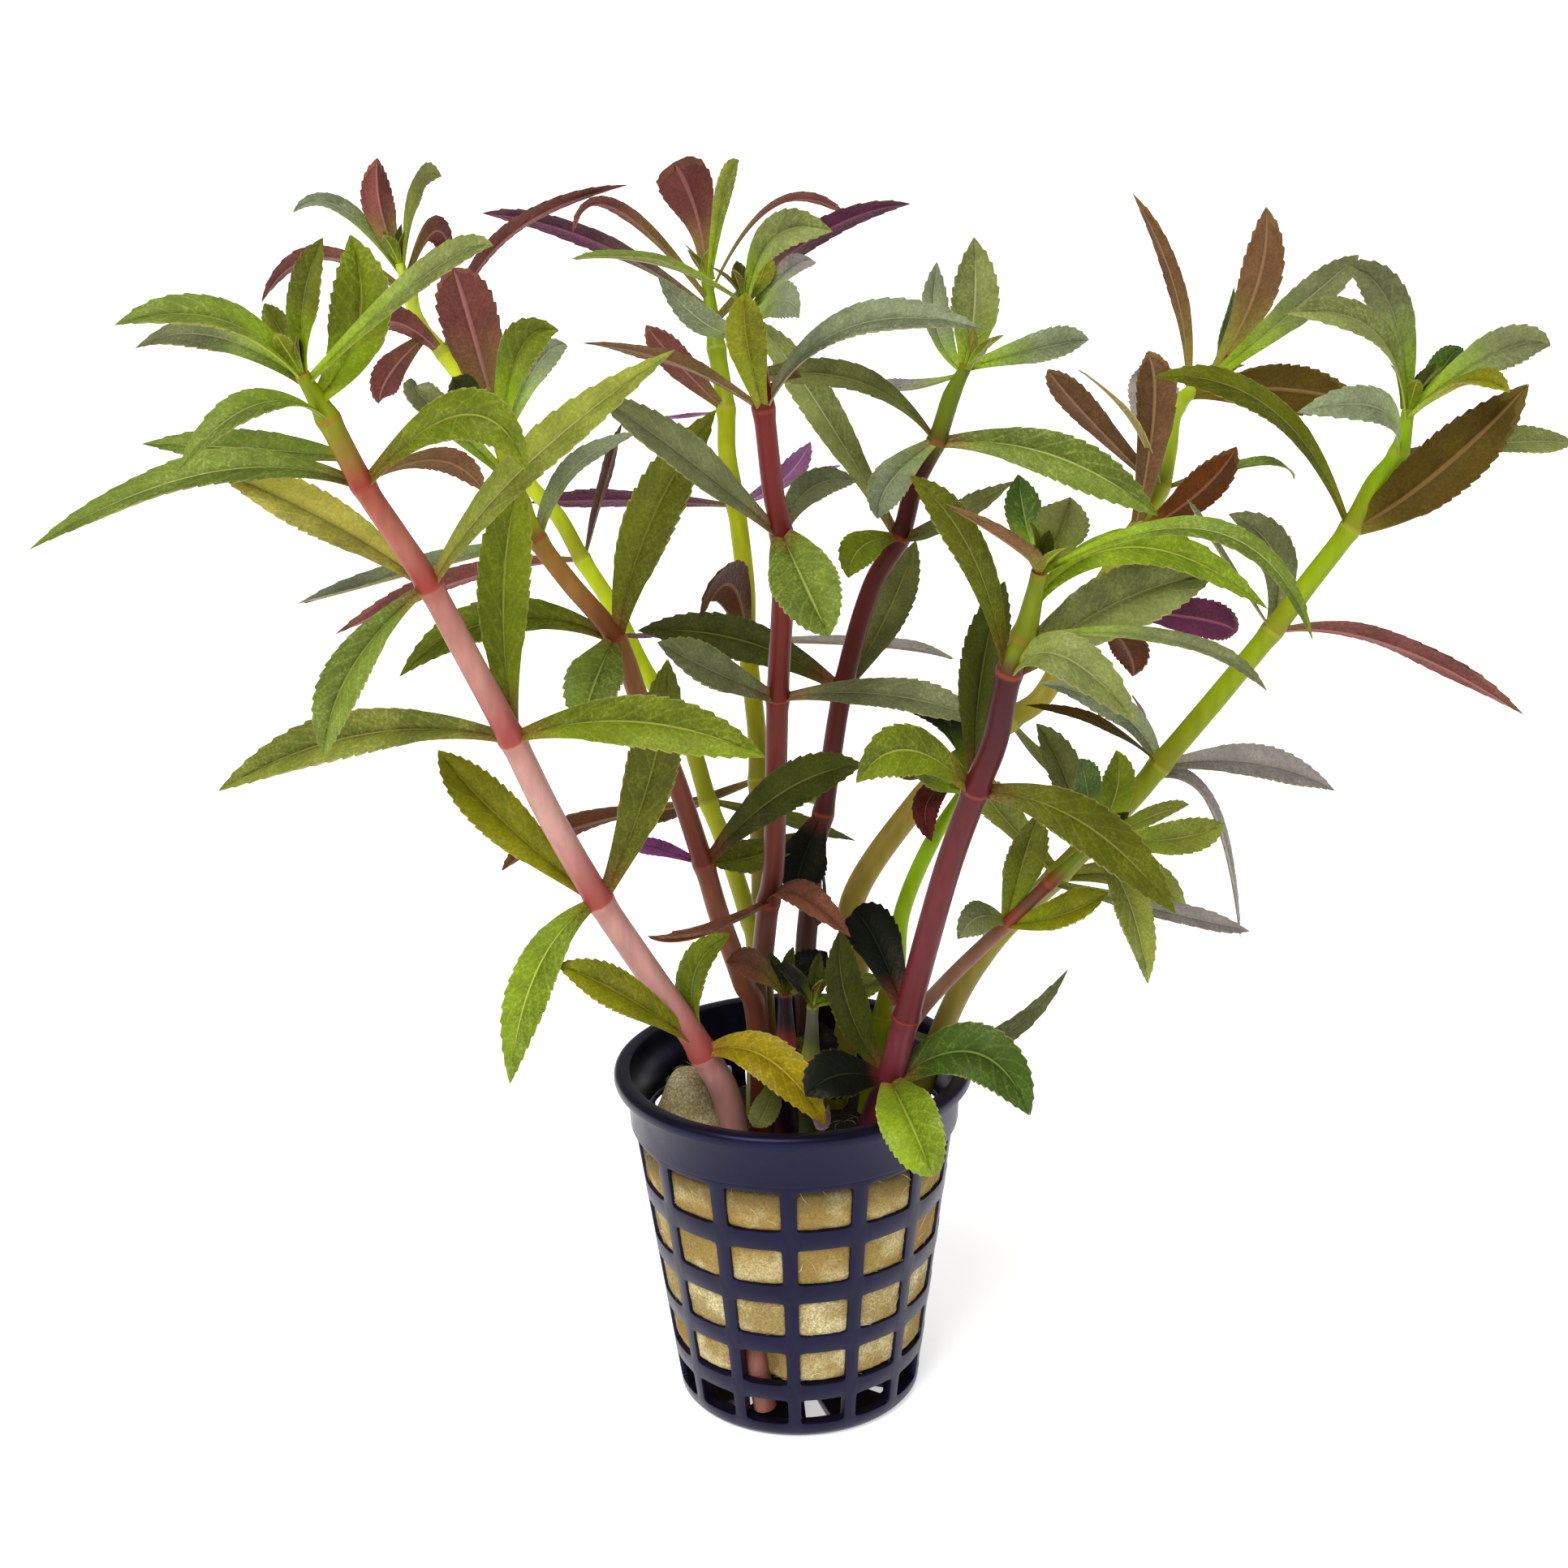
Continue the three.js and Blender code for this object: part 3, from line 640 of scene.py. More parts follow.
def scatterFibres(lump):
    # each fibre is a bent hair of a few rings
    values = woolValues
    dice = random.Random(values["seed"])
    rings, sides = values["fibreRings"], values["fibreSides"]
    places, faces = [], []
    for point, outward in surfacePoints(lump, values["fibres"], dice):
        around = Vector([dice.uniform(-1, 1) for axis in range(3)])
        course = outward.cross(around).normalized()
        across = outward.cross(course)
        length = dice.uniform(*values["fibreLength"]) * mm
        bend = dice.uniform(-values["fibreBend"], values["fibreBend"]) * length
        lift = dice.uniform(*values["fibreLift"]) * mm
        width = values["fibreWidth"] * dice.uniform(*values["fibreWidthRange"]) * mm / 2
        first = len(places)
        for ring in range(rings):
            share = ring / (rings - 1) - 0.5
            middle = point + course * (share * length) + across * (bend * share * share * 4)
            room = wallRadius(min(middle.z, values["top"])) - values["pillowClear"]
            inside = min(1, room / max(math.hypot(middle.x, middle.y), mm))
            middle = Vector((middle.x * inside, middle.y * inside, middle.z)) + outward * lift
            thin = width * (1.05 - abs(share) * 1.5)
            for side in range(sides):
                turn = side * 2 * math.pi / sides
                places.append(middle + (across * math.cos(turn) + outward * math.sin(turn)) * thin)
        for ring in range(rings - 1):
            for side in range(sides):
                low = first + ring * sides
                after = (side + 1) % sides
                faces.append((low + side, low + after, low + sides + after, low + sides + side))
        last = first + (rings - 1) * sides
        faces.append(tuple(reversed(range(first, first + sides))))
        faces.append(tuple(range(last, last + sides)))
    mesh = bpy.data.meshes.new("woolFibres")
    mesh.from_pydata(places, [], faces)
    fibres = bpy.data.objects.new("woolFibres", mesh)
    bpy.context.collection.objects.link(fibres)
    pickOnly(fibres)
    editOn()
    faceOutwards()
    editOff()
    return fibres


def woolSurface():
    values = woolValues
    tree, shader, material = newMaterial("rockWool", Roughness=0.92, Specular_IOR_Level=0.25)
    fleck = noiseNode(tree, 3000, roughness=0.7)
    patch = noiseNode(tree, 140)
    blend = plusNode(tree, timesNode(tree, fleck, 0.62), timesNode(tree, patch, 0.38))
    smooth = rampNode(tree, blend, (0.35, 0.65), values["smooth"])
    mealy = rampNode(tree, blend, (0.36, 0.5, 0.6), values["mealy"])
    place = addNode(tree, "TexCoord").outputs["Object"]
    height = addNode(tree, "SeparateXYZ", Vector=place).outputs["Z"]
    belt = mathNode(tree, "SUBTRACT", rangeNode(tree, height, *values["mealyHeights"], 0.1, 0.6),
                    rangeNode(tree, height, *values["coarseHeights"], 0, 0.35))
    lower = mathNode(tree, "MAXIMUM", belt, rangeNode(tree, height, *values["knobHeights"], 0, 1.3))
    share = mathNode(tree, "ADD", lower, rangeNode(tree, patch, 0.4, 0.65, -0.3, 0.3), True)
    # painted shade with damp wool: the top of the mouth turns near black
    dampAndShade = timesNode(tree, attributeNode(tree, "dampAndShade"), 0.96)
    dryUnshaded = mixNode(tree, share, smooth, mealy)
    feed(tree, shader.inputs["Base Color"], mixNode(tree, dampAndShade, dryUnshaded, paint(values["dampAndShade"])))
    bumpNode(tree, shader, fleck, 0.8, 0.3 * mm)
    return material


def fibreSurface():
    tree, shader, material = newMaterial("rockWoolFibre", Roughness=0.6)
    colour = rampNode(tree, noiseNode(tree, 400, 2), (0.35, 0.65), woolValues["fibreColours"])
    feed(tree, shader.inputs["Base Color"], colour)
    return material


def buildWool():
    lump = modelWoolLump()
    shapeMouth(lump)
    roughenWool(lump)
    smoothByAngle(lump, 60)
    fibres = scatterFibres(lump)
    lump.data.materials.append(woolSurface())
    fibres.data.materials.append(fibreSurface())
    for piece in (lump, fibres):
        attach(piece, "root")
        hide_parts("rock_wool")


buildWool()
print("rock wool built")

# the plant as it shows from the front: how far right and how high a point shows against the pot's
# middle, then its depth, which grows towards the back and opens out with height. Millimetres.

bunchValues = {
    "openingBottom": 60,
    "openingHeight": 100,
    "opening": 0.3,
    "leafReach": 1.5,
}


def seenPoint(x, z, level):
    values = bunchValues
    eye = cameraValues["eye"] / mm
    height = min(max((z - values["openingBottom"]) / values["openingHeight"], 0), 1)
    depth = level * (1 + values["opening"] * height)
    nearness = (depth - eye.y) / -eye.y
    return eye + (Vector((x, 0, z)) - eye) * nearness


# Each stem: its slot, its colours from bottom to top, how far up the last of them starts, the tint at the
# foot of each internode (its blush), where its cut end stands in the wool, its thickness at the bottom and
# at the top, its route, and its leaves. One stem has a tail, a bare end that shows in the windows.
# A leaf row holds the route point it grows at, its middle (x, z and step in depth), its tip (the same), its
# width, how far its upper side is turned to the front (minus for the under side), its tint, and its kind
# of blade where the width doesn't say it. A crown's leaves are joined to the stem.

stems = {
    "left_front": {
        "slot": "red_stem",
        "colours": ["#b07c74", "#b98a80", "#984c36", "#7c8c04"],
        "topFrom": 0.87,
        "blush": "#861c12",
        "foot": [-7.5, -6.5, 20],
        "thickness": [4.3, 2.6],
        "tail": [[-7.4, -11.5, 17.5], [-6.4, -14.2, 13.5], [-6, -14.5, 9], [-5.2, -14, 3.2]],
        "route": [
            [-9, 42, -9], [-13, 53, -11], [-20, 65, -14], [-27, 77, -17], [-33, 89, -20],
            [-38, 101, -23], [-43, 112, -25], [-48, 123, -27], [-52, 130, -29], [-56, 137, -31],
            [-60, 146, -33], [-63, 152, -34],
        ],
        "leaves": [
            [1.2, -24, 62, -6, -33, 67, -8, 5.4, 0.7, "moss"],
            [1, -4, 52, -4, 4, 42, -6, 6, 0.8, "gold"],
            [3, -36, 67, -4, -41, 50, -4, 5.8, 0.7, "spring"],
            [3, -40, 89, 1, -48, 99, 2, 6.2, 0.6, "moss"],
            [3, -19, 95, -2, -16, 111, -3, 6.6, 0.8, "deep"],
            [5, -58, 102, 2, -78, 95, 4, 6, 0.5, "khaki"],
            [5, -21, 103, -4, -4, 98, -7, 6.4, 0.7, "leaf"],
            [5, -38, 121, 4, -35, 137, 6, 6.4, 0.8, "leaf"],
            [7, -59, 112, -3, -64, 100, -3, 5.2, 0.6, "fresh"],
            [7, -61, 132, 4, -75, 139, 7, 5.6, 0.5, "straw"],
            [7, -35, 138, -4, -15, 153, -6, 5, 0.6, "khaki"],
            [9, -76, 139, 0, -100, 130, 0, 5.6, 0.25, "fresh"],
            [9, -42, 146, -4, -34, 139, -6, 5.6, 0.8, "leaf"],
        ],
        "crown": [
            [1, -14, 64, 0, -9, 71, 0, 5, 0.4, "leaf"],
            [9.4, -70, 142, 7, -84, 143, 10, 5, 0.3, "fresh"],
            [10, -69, 148, -6, -80, 140, -9, 4.4, 0.4, "fresh"],
            [9, -46, 140, 4, -40, 136, 6, 4, -0.5, "russet"],
            [10.4, -55, 158, 1, -55, 169, 2, 6.6, 0.9, "leaf"],
            [10.8, -46, 164, -3, -37, 168, -5, 3.6, 0.5, "sage"],
            [11, -62, 161, 0, -59, 169, -2, 4, 0.6, "deep"],
            [11, -73, 159, -2, -86, 159, -3, 5, 0.35, "fresh"],
            [10.8, -74, 157, 4, -84, 156, 7, 4.5, 0.3, "dusk"],
            [11, -65, 157, 2, -67, 161, 3, 3, 0.4, "deep"],
        ],
    },
    "left_middle": {
        "slot": "red_stem",
        "colours": ["#7c4a34", "#74402c", "#946a2c", "#8f9a10"],
        "topFrom": 0.82,
        "blush": "#5c2010",
        "foot": [-5, -1.5, 20],
        "thickness": [3.2, 2.4],
        "route": [
            [-5, 56, -3], [-7, 64, -4], [-10, 74, -5], [-12, 82, -6], [-16, 96, -7], [-20, 106, -8],
            [-23, 115, -9], [-29, 123, -10], [-33, 129, -10], [-35, 134, -10], [-38, 144, -10],
        ],
        "leaves": [
            [3, -1, 92, -5, 10, 96, -8, 6, 0.7, "dark"],
            [6, -18, 130, -2, -9, 145, -4, 6.6, 0.8, "deep"],
            [6, -38, 118, 2, -52, 111, 3, 5.4, 0.6, "leaf"],
        ],
        "crown": [
            [6, -26, 109, -5, -28, 103, -7, 7, 0.8, "fresh"],
            [3, -18, 84, 2, -22, 85, 4, 3, 0.2, "mauve"],
            [6, -20, 115, 3, -18, 115, 5, 2.6, 0.2, "wine"],
            [8, -28, 138, 4, -19, 143, 6, 4.5, 0.3, "silver"],
            [8, -49, 125, -2, -65, 121, -2, 5, 0.2, "silver"],
            [9.6, -40, 157, 0, -42, 165, -1, 7, -0.9, "plum"],
            [9.8, -34, 154, -3, -29, 157, -5, 5, 0.7, "leaf"],
            [9.8, -32, 152, 3, -28, 155, 6, 4, 0.6, "silver"],
            [9.4, -46, 147, 0, -48, 150, 1, 4, 0.7, "dusk"],
            [10, -42, 149, -4, -43, 151, -6, 4, 0.7, "dark"],
        ],
    },
    "left_back": {
        "slot": "green_stem",
        "colours": ["#9c9c28", "#a4b410", "#b0bc24", "#bcce3c"],
        "topFrom": 0.85,
        "foot": [-6.5, 4, 20],
        "thickness": [2.9, 2.1],
        "route": [
            [-5, 65, 10], [-6, 74, 12], [-9, 85, 14], [-11, 91, 16], [-14, 102, 18], [-19, 110, 20],
            [-23, 119, 22], [-27, 126, 24], [-30, 132, 25], [-34, 137, 26], [-39, 146, 28],
            [-44, 154, 29], [-47, 158, 30], [-48, 162, 30], [-49, 166, 30],
        ],
        "leaves": [
            [3, -29, 88, 4, -40, 82, 7, 5, -0.4, "umber"],
            [7, -42, 124, 3, -60, 117, 5, 5, -0.35, "plum"],
            [11, -36, 168, 2, -20, 175, 4, 4.2, -0.2, "plum"],
        ],
        "crown": [
            [7, -24, 135, 3, -21, 144, 5, 4.5, -0.3, "umber"],
            [3, 0, 88, 1, 9, 85, 2, 5, 0.4, "deep"],
            [11, -49, 158, -2, -53, 158, -4, 4, -0.3, "plum"],
            [11.6, -51, 152, -4, -53, 148, -5, 4.6, -0.7, "plum"],
            [14, -51, 173, 1, -51, 179, 1, 4.6, -0.8, "plum"],
            [13.6, -56, 173, 2, -62, 173, 3, 3.4, 0.25, "silver"],
            [13, -59, 167, -3, -67, 162, -5, 4.5, -0.3, "plum"],
            [13.8, -46, 175, -2, -43, 177, -4, 4, 0.5, "olive"],
            [13.4, -44, 170, 3, -42, 165, 5, 3.8, -0.6, "plum"],
        ],
    },
    "centre_back": {
        "slot": "green_stem",
        "colours": ["#746030", "#8c8c04", "#8c9804", "#74880c"],
        "topFrom": 0.85,
        "foot": [-2.5, 7.5, 20],
        "thickness": [3, 2.8],
        "route": [
            [-4, 65, 15], [-4, 80, 20], [-4, 94, 24], [-4, 101, 26], [-5, 114, 30], [-5, 122, 32],
            [-6, 133, 35], [-7, 140, 37], [-7, 146, 38], [-8, 154, 40], [-9, 163, 42],
        ],
        "leaves": [
            [4, 13, 113, 3, 23, 111, 5, 5.4, 0.3, "slate"],
        ],
        "crown": [
            [6, -20, 134, 3, -33, 134, 4, 5, -0.3, "wine"],
            [2, -14, 90, 6, -22, 88, 10, 5.4, 0.4, "bronze"],
            [2, 2, 91, 8, 5, 93, 13, 5.4, 0.4, "moss"],
            [4, -7, 122, -5, -11, 118, -9, 7.4, -0.7, "umber"],
            [6, 0, 136, -5, 4, 141, -8, 4, -0.3, "mauve"],
            [6, 2, 136, 4, 8, 138, 7, 3.6, 0.2, "mauve"],
            [8, -12, 145, 4, -17, 145, 7, 2.6, 0.2, "mauve"],
            [8, -13, 152, -3, -17, 157, -5, 4.6, -0.6, "plum"],
            [10, -10, 171, 1, -12.5, 177.5, -1, 7.8, -0.8, "plum", "spoon"],
            [9.6, -23, 168, 2, -37, 172, 4, 5, -0.3, "wine"],
            [9.7, -20, 172, -3, -26, 170, -6, 3, -0.2, "plum"],
            [9.8, 0, 172, 4, 9, 171, 7, 3, -0.2, "plum"],
            [9.4, 5, 168, -3, 17, 172, -5, 4.8, -0.35, "wine"],
            [9.9, -6.4, 174, -3, -4.4, 178, -5, 2.6, 0.7, "khaki"],
        ],
    },
    "centre_front": {
        "slot": "red_stem",
        "colours": ["#74503e", "#66241c", "#70221e", "#94a828"],
        "topFrom": 0.9,
        "blush": "#58160f",
        "foot": [-1, 0.5, 20],
        "thickness": [3.3, 2.6],
        "route": [
            [-5, 59, 3], [-4, 68, 0], [-3, 76, -2], [-2, 83, -4], [-1, 106, -9], [0, 120, -12],
            [0, 129, -14], [-1, 135, -15], [-2, 146, -17], [-3, 153, -18], [-4, 160, -18],
        ],
        "leaves": [
            [4, 14, 106, -3, 27, 102, -6, 5.2, 0.4, "dusk"],
            [6, 3, 122, -6, 6, 115, -9, 8, 0.9, "fresh"],
            [6, -12, 139, -4, -24, 148, -7, 5.4, 0.6, "dusk"],
            [8, 9, 156, -4, 26, 156, -7, 5, 0.4, "silver"],
        ],
        "crown": [
            [4, -10, 110, -5, -17, 114, -7, 5.4, 0.6, "dusk"],
            [2, 1, 77, -5, 8, 71, -8, 4.2, 0.4, "umber"],
            [2, -13, 71, -12, -20, 71, -12, 5, -0.3, "umber"],
            [6, 4, 135, 5, 10, 136, 8, 4.5, 0.5, "dusk"],
            [8, -13, 152, -4, -25, 155, -7, 4.6, -0.3, "russet"],
            [8, -4, 155, -5, -4, 161, -7, 4.6, 0.7, "moss"],
            [8, 0, 149, 5, 3, 150, 7, 3.6, -0.3, "bronze"],
            [10, -15, 165, -3, -26, 166, -5, 4.4, 0.2, "fresh"],
            [9.4, -9, 157, 4, -15, 163, 6, 4, 0.3, "silver"],
            [10, 0, 168, -3, 7, 169, -5, 4.6, 0.6, "sage"],
            [9.8, 2, 164, 3, 5, 165, 5, 3, 0.4, "slate"],
            [9.6, 1, 160, -5, 3, 158, -8, 4.2, 0.7, "silver"],
            [10, -2, 163, 2, -1, 166, 3, 3, 0.6, "moss"],
        ],
    },
    "centre_right": {
        "slot": "red_stem",
        "colours": ["#4c2c24", "#501c16", "#3e1810", "#5c6c0c"],
        "topFrom": 0.8,
        "blush": "#40120c",
        "foot": [3.8, 3.2, 20],
        "thickness": [3.2, 2.5],
        "route": [
            [2, 61, 8], [3, 77, 9], [4, 86, 9], [5, 89, 9], [8, 107, 10], [12, 121, 11], [16, 128, 11],
            [18, 135, 12], [21, 141, 12], [23, 147, 12], [25, 151, 12],
        ],
        "leaves": [
            [4, -5, 114, 3, -19, 116, 4, 6.2, 0.7, "dark"],
            [4, 14, 117, 4, 18, 127, 6, 5.4, 0.7, "olive"],
            [6, 6, 145, 2, -2, 157, 3, 5.6, 0.6, "sage"],
            [8, 36, 139, -2, 50, 131, -4, 6.2, 0.8, "fresh"],
        ],
        "crown": [
            [6, 23, 130, -3, 31, 135, -5, 5.2, 0.5, "olive"],
            [2, -4, 83, -3, -11, 82, -5, 5.6, 0.4, "deep"],
            [3, 2, 82, -3, 1, 78, -4, 7, 0.6, "shadow"],
            [6, 11, 127, -4, 9, 123, -6, 5, 0.5, "leaf"],
            [8, 11, 149, -3, -3, 150, -6, 5.2, 0.4, "olive"],
            [8, 15, 136, -4, 13, 131, -6, 5, 0.8, "silver"],
            [10, 26, 158, 1, 26, 167, 1, 6.4, 0.9, "sage"],
            [9.8, 21, 156, 2, 21, 164, 4, 4.6, 0.4, "silver"],
            [10, 35, 153, -2, 41, 154, -4, 4.6, 0.7, "silver"],
            [9.6, 17, 148, 3, 13, 149, 5, 4, 0.4, "slate"],
            [10, 27, 152, -4, 28, 154, -6, 4, 0.5, "fresh"],
            [1, 5, 75, -3, 5, 80, -3, 5.6, 0.5, "shadow"],
        ],
    },
    "right_front": {
        "slot": "red_stem",
        "colours": ["#7c3844", "#5c2224", "#3a1418", "#6c7808"],
        "topFrom": 0.8,
        "blush": "#501216",
        "foot": [7.5, -9, 20],
        "thickness": [4, 3],
        "route": [
            [11, 39, -12], [14, 48, -14], [16.5, 58, -17], [22, 79, -22], [26.4, 92, -26], [29, 99, -28],
            [31, 109, -30], [33, 114, -31], [35, 123, -33],
        ],
        "leaves": [
            [1, 26, 52, -3, 34, 43, -5, 7.6, 0.7, "fern"],
            [1, 17, 41, -10, 20, 33, -12, 7.6, 0.9, "spring"],
            [1, 8, 60, 1, 7, 71, 0, 5.6, 0.6, "dark"],
            [4, 41, 87, -2, 54, 74, -4, 6.4, 0.7, "deep"],
            [4, 27, 108, 4, 30, 121, 7, 5.6, 0.7, "dark"],
            [6, 26, 125, -3, 18, 136, -4, 4.6, 0.6, "deep"],
            [6, 45, 118, 2, 58, 122, 3, 7.6, 0.9, "sage"],
        ],
        "crown": [
            [6, 38, 111, -4, 48, 102, -6, 5.6, 0.6, "sage"],
            [4, 17, 98, -3, 10, 94, -6, 6.2, 0.8, "leaf"],
            [1, 7, 49, -3, 2, 46, -5, 7, 0.5, "shadow"],
            [2, 12, 70, 6, 9, 74, 9, 7, 0.6, "shadow"],
            [7, 53, 113, -5, 66, 106, -8, 2.8, 0.2, "dusk"],
            [8, 32, 126, -2, 23, 132, -4, 3.8, -0.35, "russet"],
            [7.6, 48, 126, 2, 65, 118, 4, 4.8, 0.6, "spring"],
            [8, 58, 128, -3, 72, 114, -6, 3.4, 0.3, "fresh"],
            [8, 38, 129, 1, 39, 133, 1, 6, 0.8, "olive"],
            [8, 33, 130, 3, 32, 136, 4, 4.4, 0.6, "fern"],
        ],
    },
    "right_far": {
        "slot": "green_stem",
        "colours": ["#807030", "#7c8a04", "#7e9602", "#82a206"],
        "topFrom": 0.85,
        "foot": [11, 0.5, 20],
        "thickness": [3.5, 2.5],
        "route": [
            [20.8, 53.5, 0], [28, 68, -2], [38, 79, -3], [48, 90, -5], [52, 95, -5], [60, 105, -6],
            [67, 114, -7], [72, 121, -8], [77, 128, -8], [80, 134, -8], [83, 138, -8], [84, 144, -8],
        ],
        "leaves": [
            [4, 65, 95, 6, 76, 91, 8, 5.4, 0.5, "slate"],
            [3.8, 59, 89, 2, 64, 70, 2, 5, 0.2, "slate"],
            [6, 82, 112, -2, 101, 102, -4, 5.4, -0.4, "plum"],
            [8, 66, 144, -2, 51, 149, -4, 4.8, 0.5, "deep"],
            [8, 88, 135, -3, 99, 146, -5, 7.6, -0.9, "bronze"],
            [10, 97, 139, 3, 106, 139, 5, 5, 0.3, "sage"],
        ],
        "crown": [
            [6, 67, 124, 3, 61, 130, 4, 5.4, 0.7, "dusk"],
            [4, 46, 103, 3, 36, 107, 4, 5.2, 0.5, "silver"],
            [2, 30, 88, 5, 26, 94, 8, 5.4, 0.5, "khaki"],
            [2, 50, 78, 3, 56, 72, 5, 5.6, 0.5, "khaki"],
            [4, 44, 101, -4, 34, 104, -6, 2.4, 0.2, "bronze"],
            [4, 50, 101, 4, 48, 105, 7, 3.4, -0.3, "plum"],
            [6, 60, 124, -3, 55, 132, -5, 3, 0.2, "dusk"],
            [10, 80, 144, -5, 70, 144, -8, 4.6, 0.6, "silver"],
            [11, 81, 157, 1, 75, 163, 1, 5, 0.8, "dusk"],
            [10.8, 79, 154, -3, 68, 157, -5, 4.6, 0.5, "sage"],
            [11, 95, 151, -1, 102, 152, -2, 5, 0.8, "dusk"],
            [11, 88, 149, 3, 90, 152, 5, 3.6, 0.5, "fern"],
            [10.8, 91, 147, -4, 97, 146, -7, 4, 0.3, "moss"],
        ],
    },
    "right_back": {
        "slot": "green_stem",
        "colours": ["#9a8438", "#94842c", "#8ea018", "#94a81c"],
        "topFrom": 0.85,
        "foot": [2, 9.5, 20],
        "thickness": [4.1, 2.6],
        "route": [
            [9, 62, 12], [9, 76, 16], [18, 90, 20], [24, 96, 22], [31, 102, 24], [36, 106, 26],
            [42, 118, 28], [48, 128, 30], [51, 134, 32], [52, 139, 34], [53, 145, 36], [58, 149, 38],
        ],
        "leaves": [
            [8, 50, 145, 9, 49, 152, 10, 7.6, 0.8, "slate"],
            [6, 56, 116, -3, 62, 114, -5, 5.6, -0.7, "wine"],
            [10.4, 66, 147, -3, 77, 145, -5, 7, -0.8, "bronze"],
        ],
        "crown": [
            [7, 56, 133, -4, 61, 139, -6, 5.4, -0.5, "umber"],
            [3, 18, 94, 4, 16, 98, 6, 4, 0.5, "olive"],
            [4, 38, 94, 3, 46, 90, 5, 5.6, 0.4, "deep"],
            [6, 47, 112, 3, 48, 108, 5, 5.4, -0.6, "umber"],
            [8, 41, 144, -3, 36, 150, -5, 4.6, -0.5, "russet"],
            [8, 47, 143, -5, 40, 150, -8, 3.6, 0.3, "straw"],
            [8, 64, 137, 3, 69, 135, 5, 3, 0.4, "fresh"],
            [7, 50, 144, -3, 49, 152, -4, 5.6, -0.7, "russet"],
            [11, 63, 160, 1, 64, 170, 0, 6, -0.8, "russet"],
            [11, 69, 158, -3, 76, 164, -5, 5, 0.6, "dusk"],
            [10.4, 52.5, 160, 2, 47, 172, 3, 3, -0.5, "russet"],
            [11, 59, 153, 5, 60, 160, 8, 3, 0.5, "fern"],
        ],
    },
    "right_inner": {
        "slot": "green_stem",
        "colours": ["#7e9107", "#8aa80c", "#8cb010", "#90b414"],
        "topFrom": 0.85,
        "foot": [7.6, 6.6, 20],
        "thickness": [2.9, 2.2],
        "route": [
            [13, 58, 9], [15, 65, 9], [16, 74, 11], [20, 84, 12], [26, 94, 13],
        ],
        "leaves": [],
        "crown": [
            [0, 27, 53.3, 3, 39, 63.6, 6, 3.2, 0.5, "dusk"],
            [4, 20, 91, -3, 20, 85, -4, 3.8, -0.4, "plum"],
            [4, 22, 102, 2, 15, 105, 4, 5, 0.5, "shadow"],
            [4, 25, 101, 1, 26, 107, 2, 5, 0.7, "shadow"],
            [3.8, 20, 94, -3, 15, 98, -5, 4.6, 0.5, "leaf"],
        ],
    },
    "side_shoot": {
        "slot": "red_stem",
        "colours": ["#74463a", "#84604a", "#5c3420", "#627208"],
        "topFrom": 0.85,
        "foot": [4.6, -4, 20],
        "thickness": [2.3, 1.9],
        "route": [
            [15, 52, -4], [18, 58, -5], [23, 64, -9], [31, 72, -14], [37, 78, -17], [43, 84, -19],
        ],
        "leaves": [
            [5, 48, 75, -3, 51, 63, -4, 5.4, 0.5, "khaki"],
        ],
        "crown": [
            [3, 39, 73, -4, 45, 76, -6, 5, 0.6, "moss"],
            [3, 33, 81, -2, 35, 88, -3, 5.4, 0.7, "deep"],
            [3, 27, 73, -3, 24, 70, -5, 4.4, 0.7, "dusk"],
            [4, 54, 73, 3, 65, 70, 6, 3.4, 0.3, "slate"],
            [4.8, 39, 93, 1, 35, 101, 2, 5, 0.6, "olive"],
            [5, 42, 91, -3, 41, 96, -5, 4.4, 0.6, "fern"],
            [5, 46, 91, 2, 46, 97, 3, 4.4, 0.7, "leaf"],
            [5, 50, 87, -2, 56, 89, -4, 4.4, 0.4, "khaki"],
            [5, 54, 84, 3, 61, 86, 5, 4.6, 0.6, "khaki"],
        ],
    },
    "short_left": {
        "slot": "red_stem",
        "colours": ["#3c2028", "#38202a", "#2c1c20", "#241c1c"],
        "topFrom": 0.85,
        "budTints": ("shadow", "dark"),
        "foot": [-0.4, -4.4, 20],
        "thickness": [3.2, 3],
        "route": [
            [-1.5, 46, -6], [-1, 54, -6], [-1, 62, -6],
        ],
        "leaves": [],
        "crown": [
            [2, -5, 66, -3, -9, 67, -5, 4.4, 0.6, "umber"],
            [2, 2, 65, 1, 5, 68, 2, 5.6, 0.7, "shadow"],
            [0.6, -4, 44, -4, -6, 41, -7, 3.8, 0.5, "olive"],
            [1, 3, 53, 2, 4, 57, 3, 6, 0.5, "shadow"],
        ],
    },
    "short_right": {
        "slot": "green_stem",
        "colours": ["#4a5030", "#484c34", "#4a4c34", "#50503c"],
        "topFrom": 0.85,
        "budTints": ("dark", "shadow", "deep"),
        "foot": [2, -10.5, 20],
        "thickness": [2.8, 2.4],
        "route": [
            [2, 45, -11], [2.6, 52, -12], [3, 60, -13],
        ],
        "leaves": [],
        "crown": [
            [2, 9, 62, 3, 13, 64, 5, 3.6, 0.6, "khaki"],
            [2, 1, 63, -3, -2, 66, -5, 4, 0.5, "shadow"],
            [1, 6, 48, -1, 10, 51, -1, 6, 0.5, "shadow"],
            [0, 4, 41, -1, 5, 44, -1, 1.8, 0.6, "pale"],
        ],
    },
}


# leaf blades: each kind is modelled flat, one unit long and up to two wide, and its copies are bent into
# place. The shape is how fast a blade widens from its base and narrows to its tip.

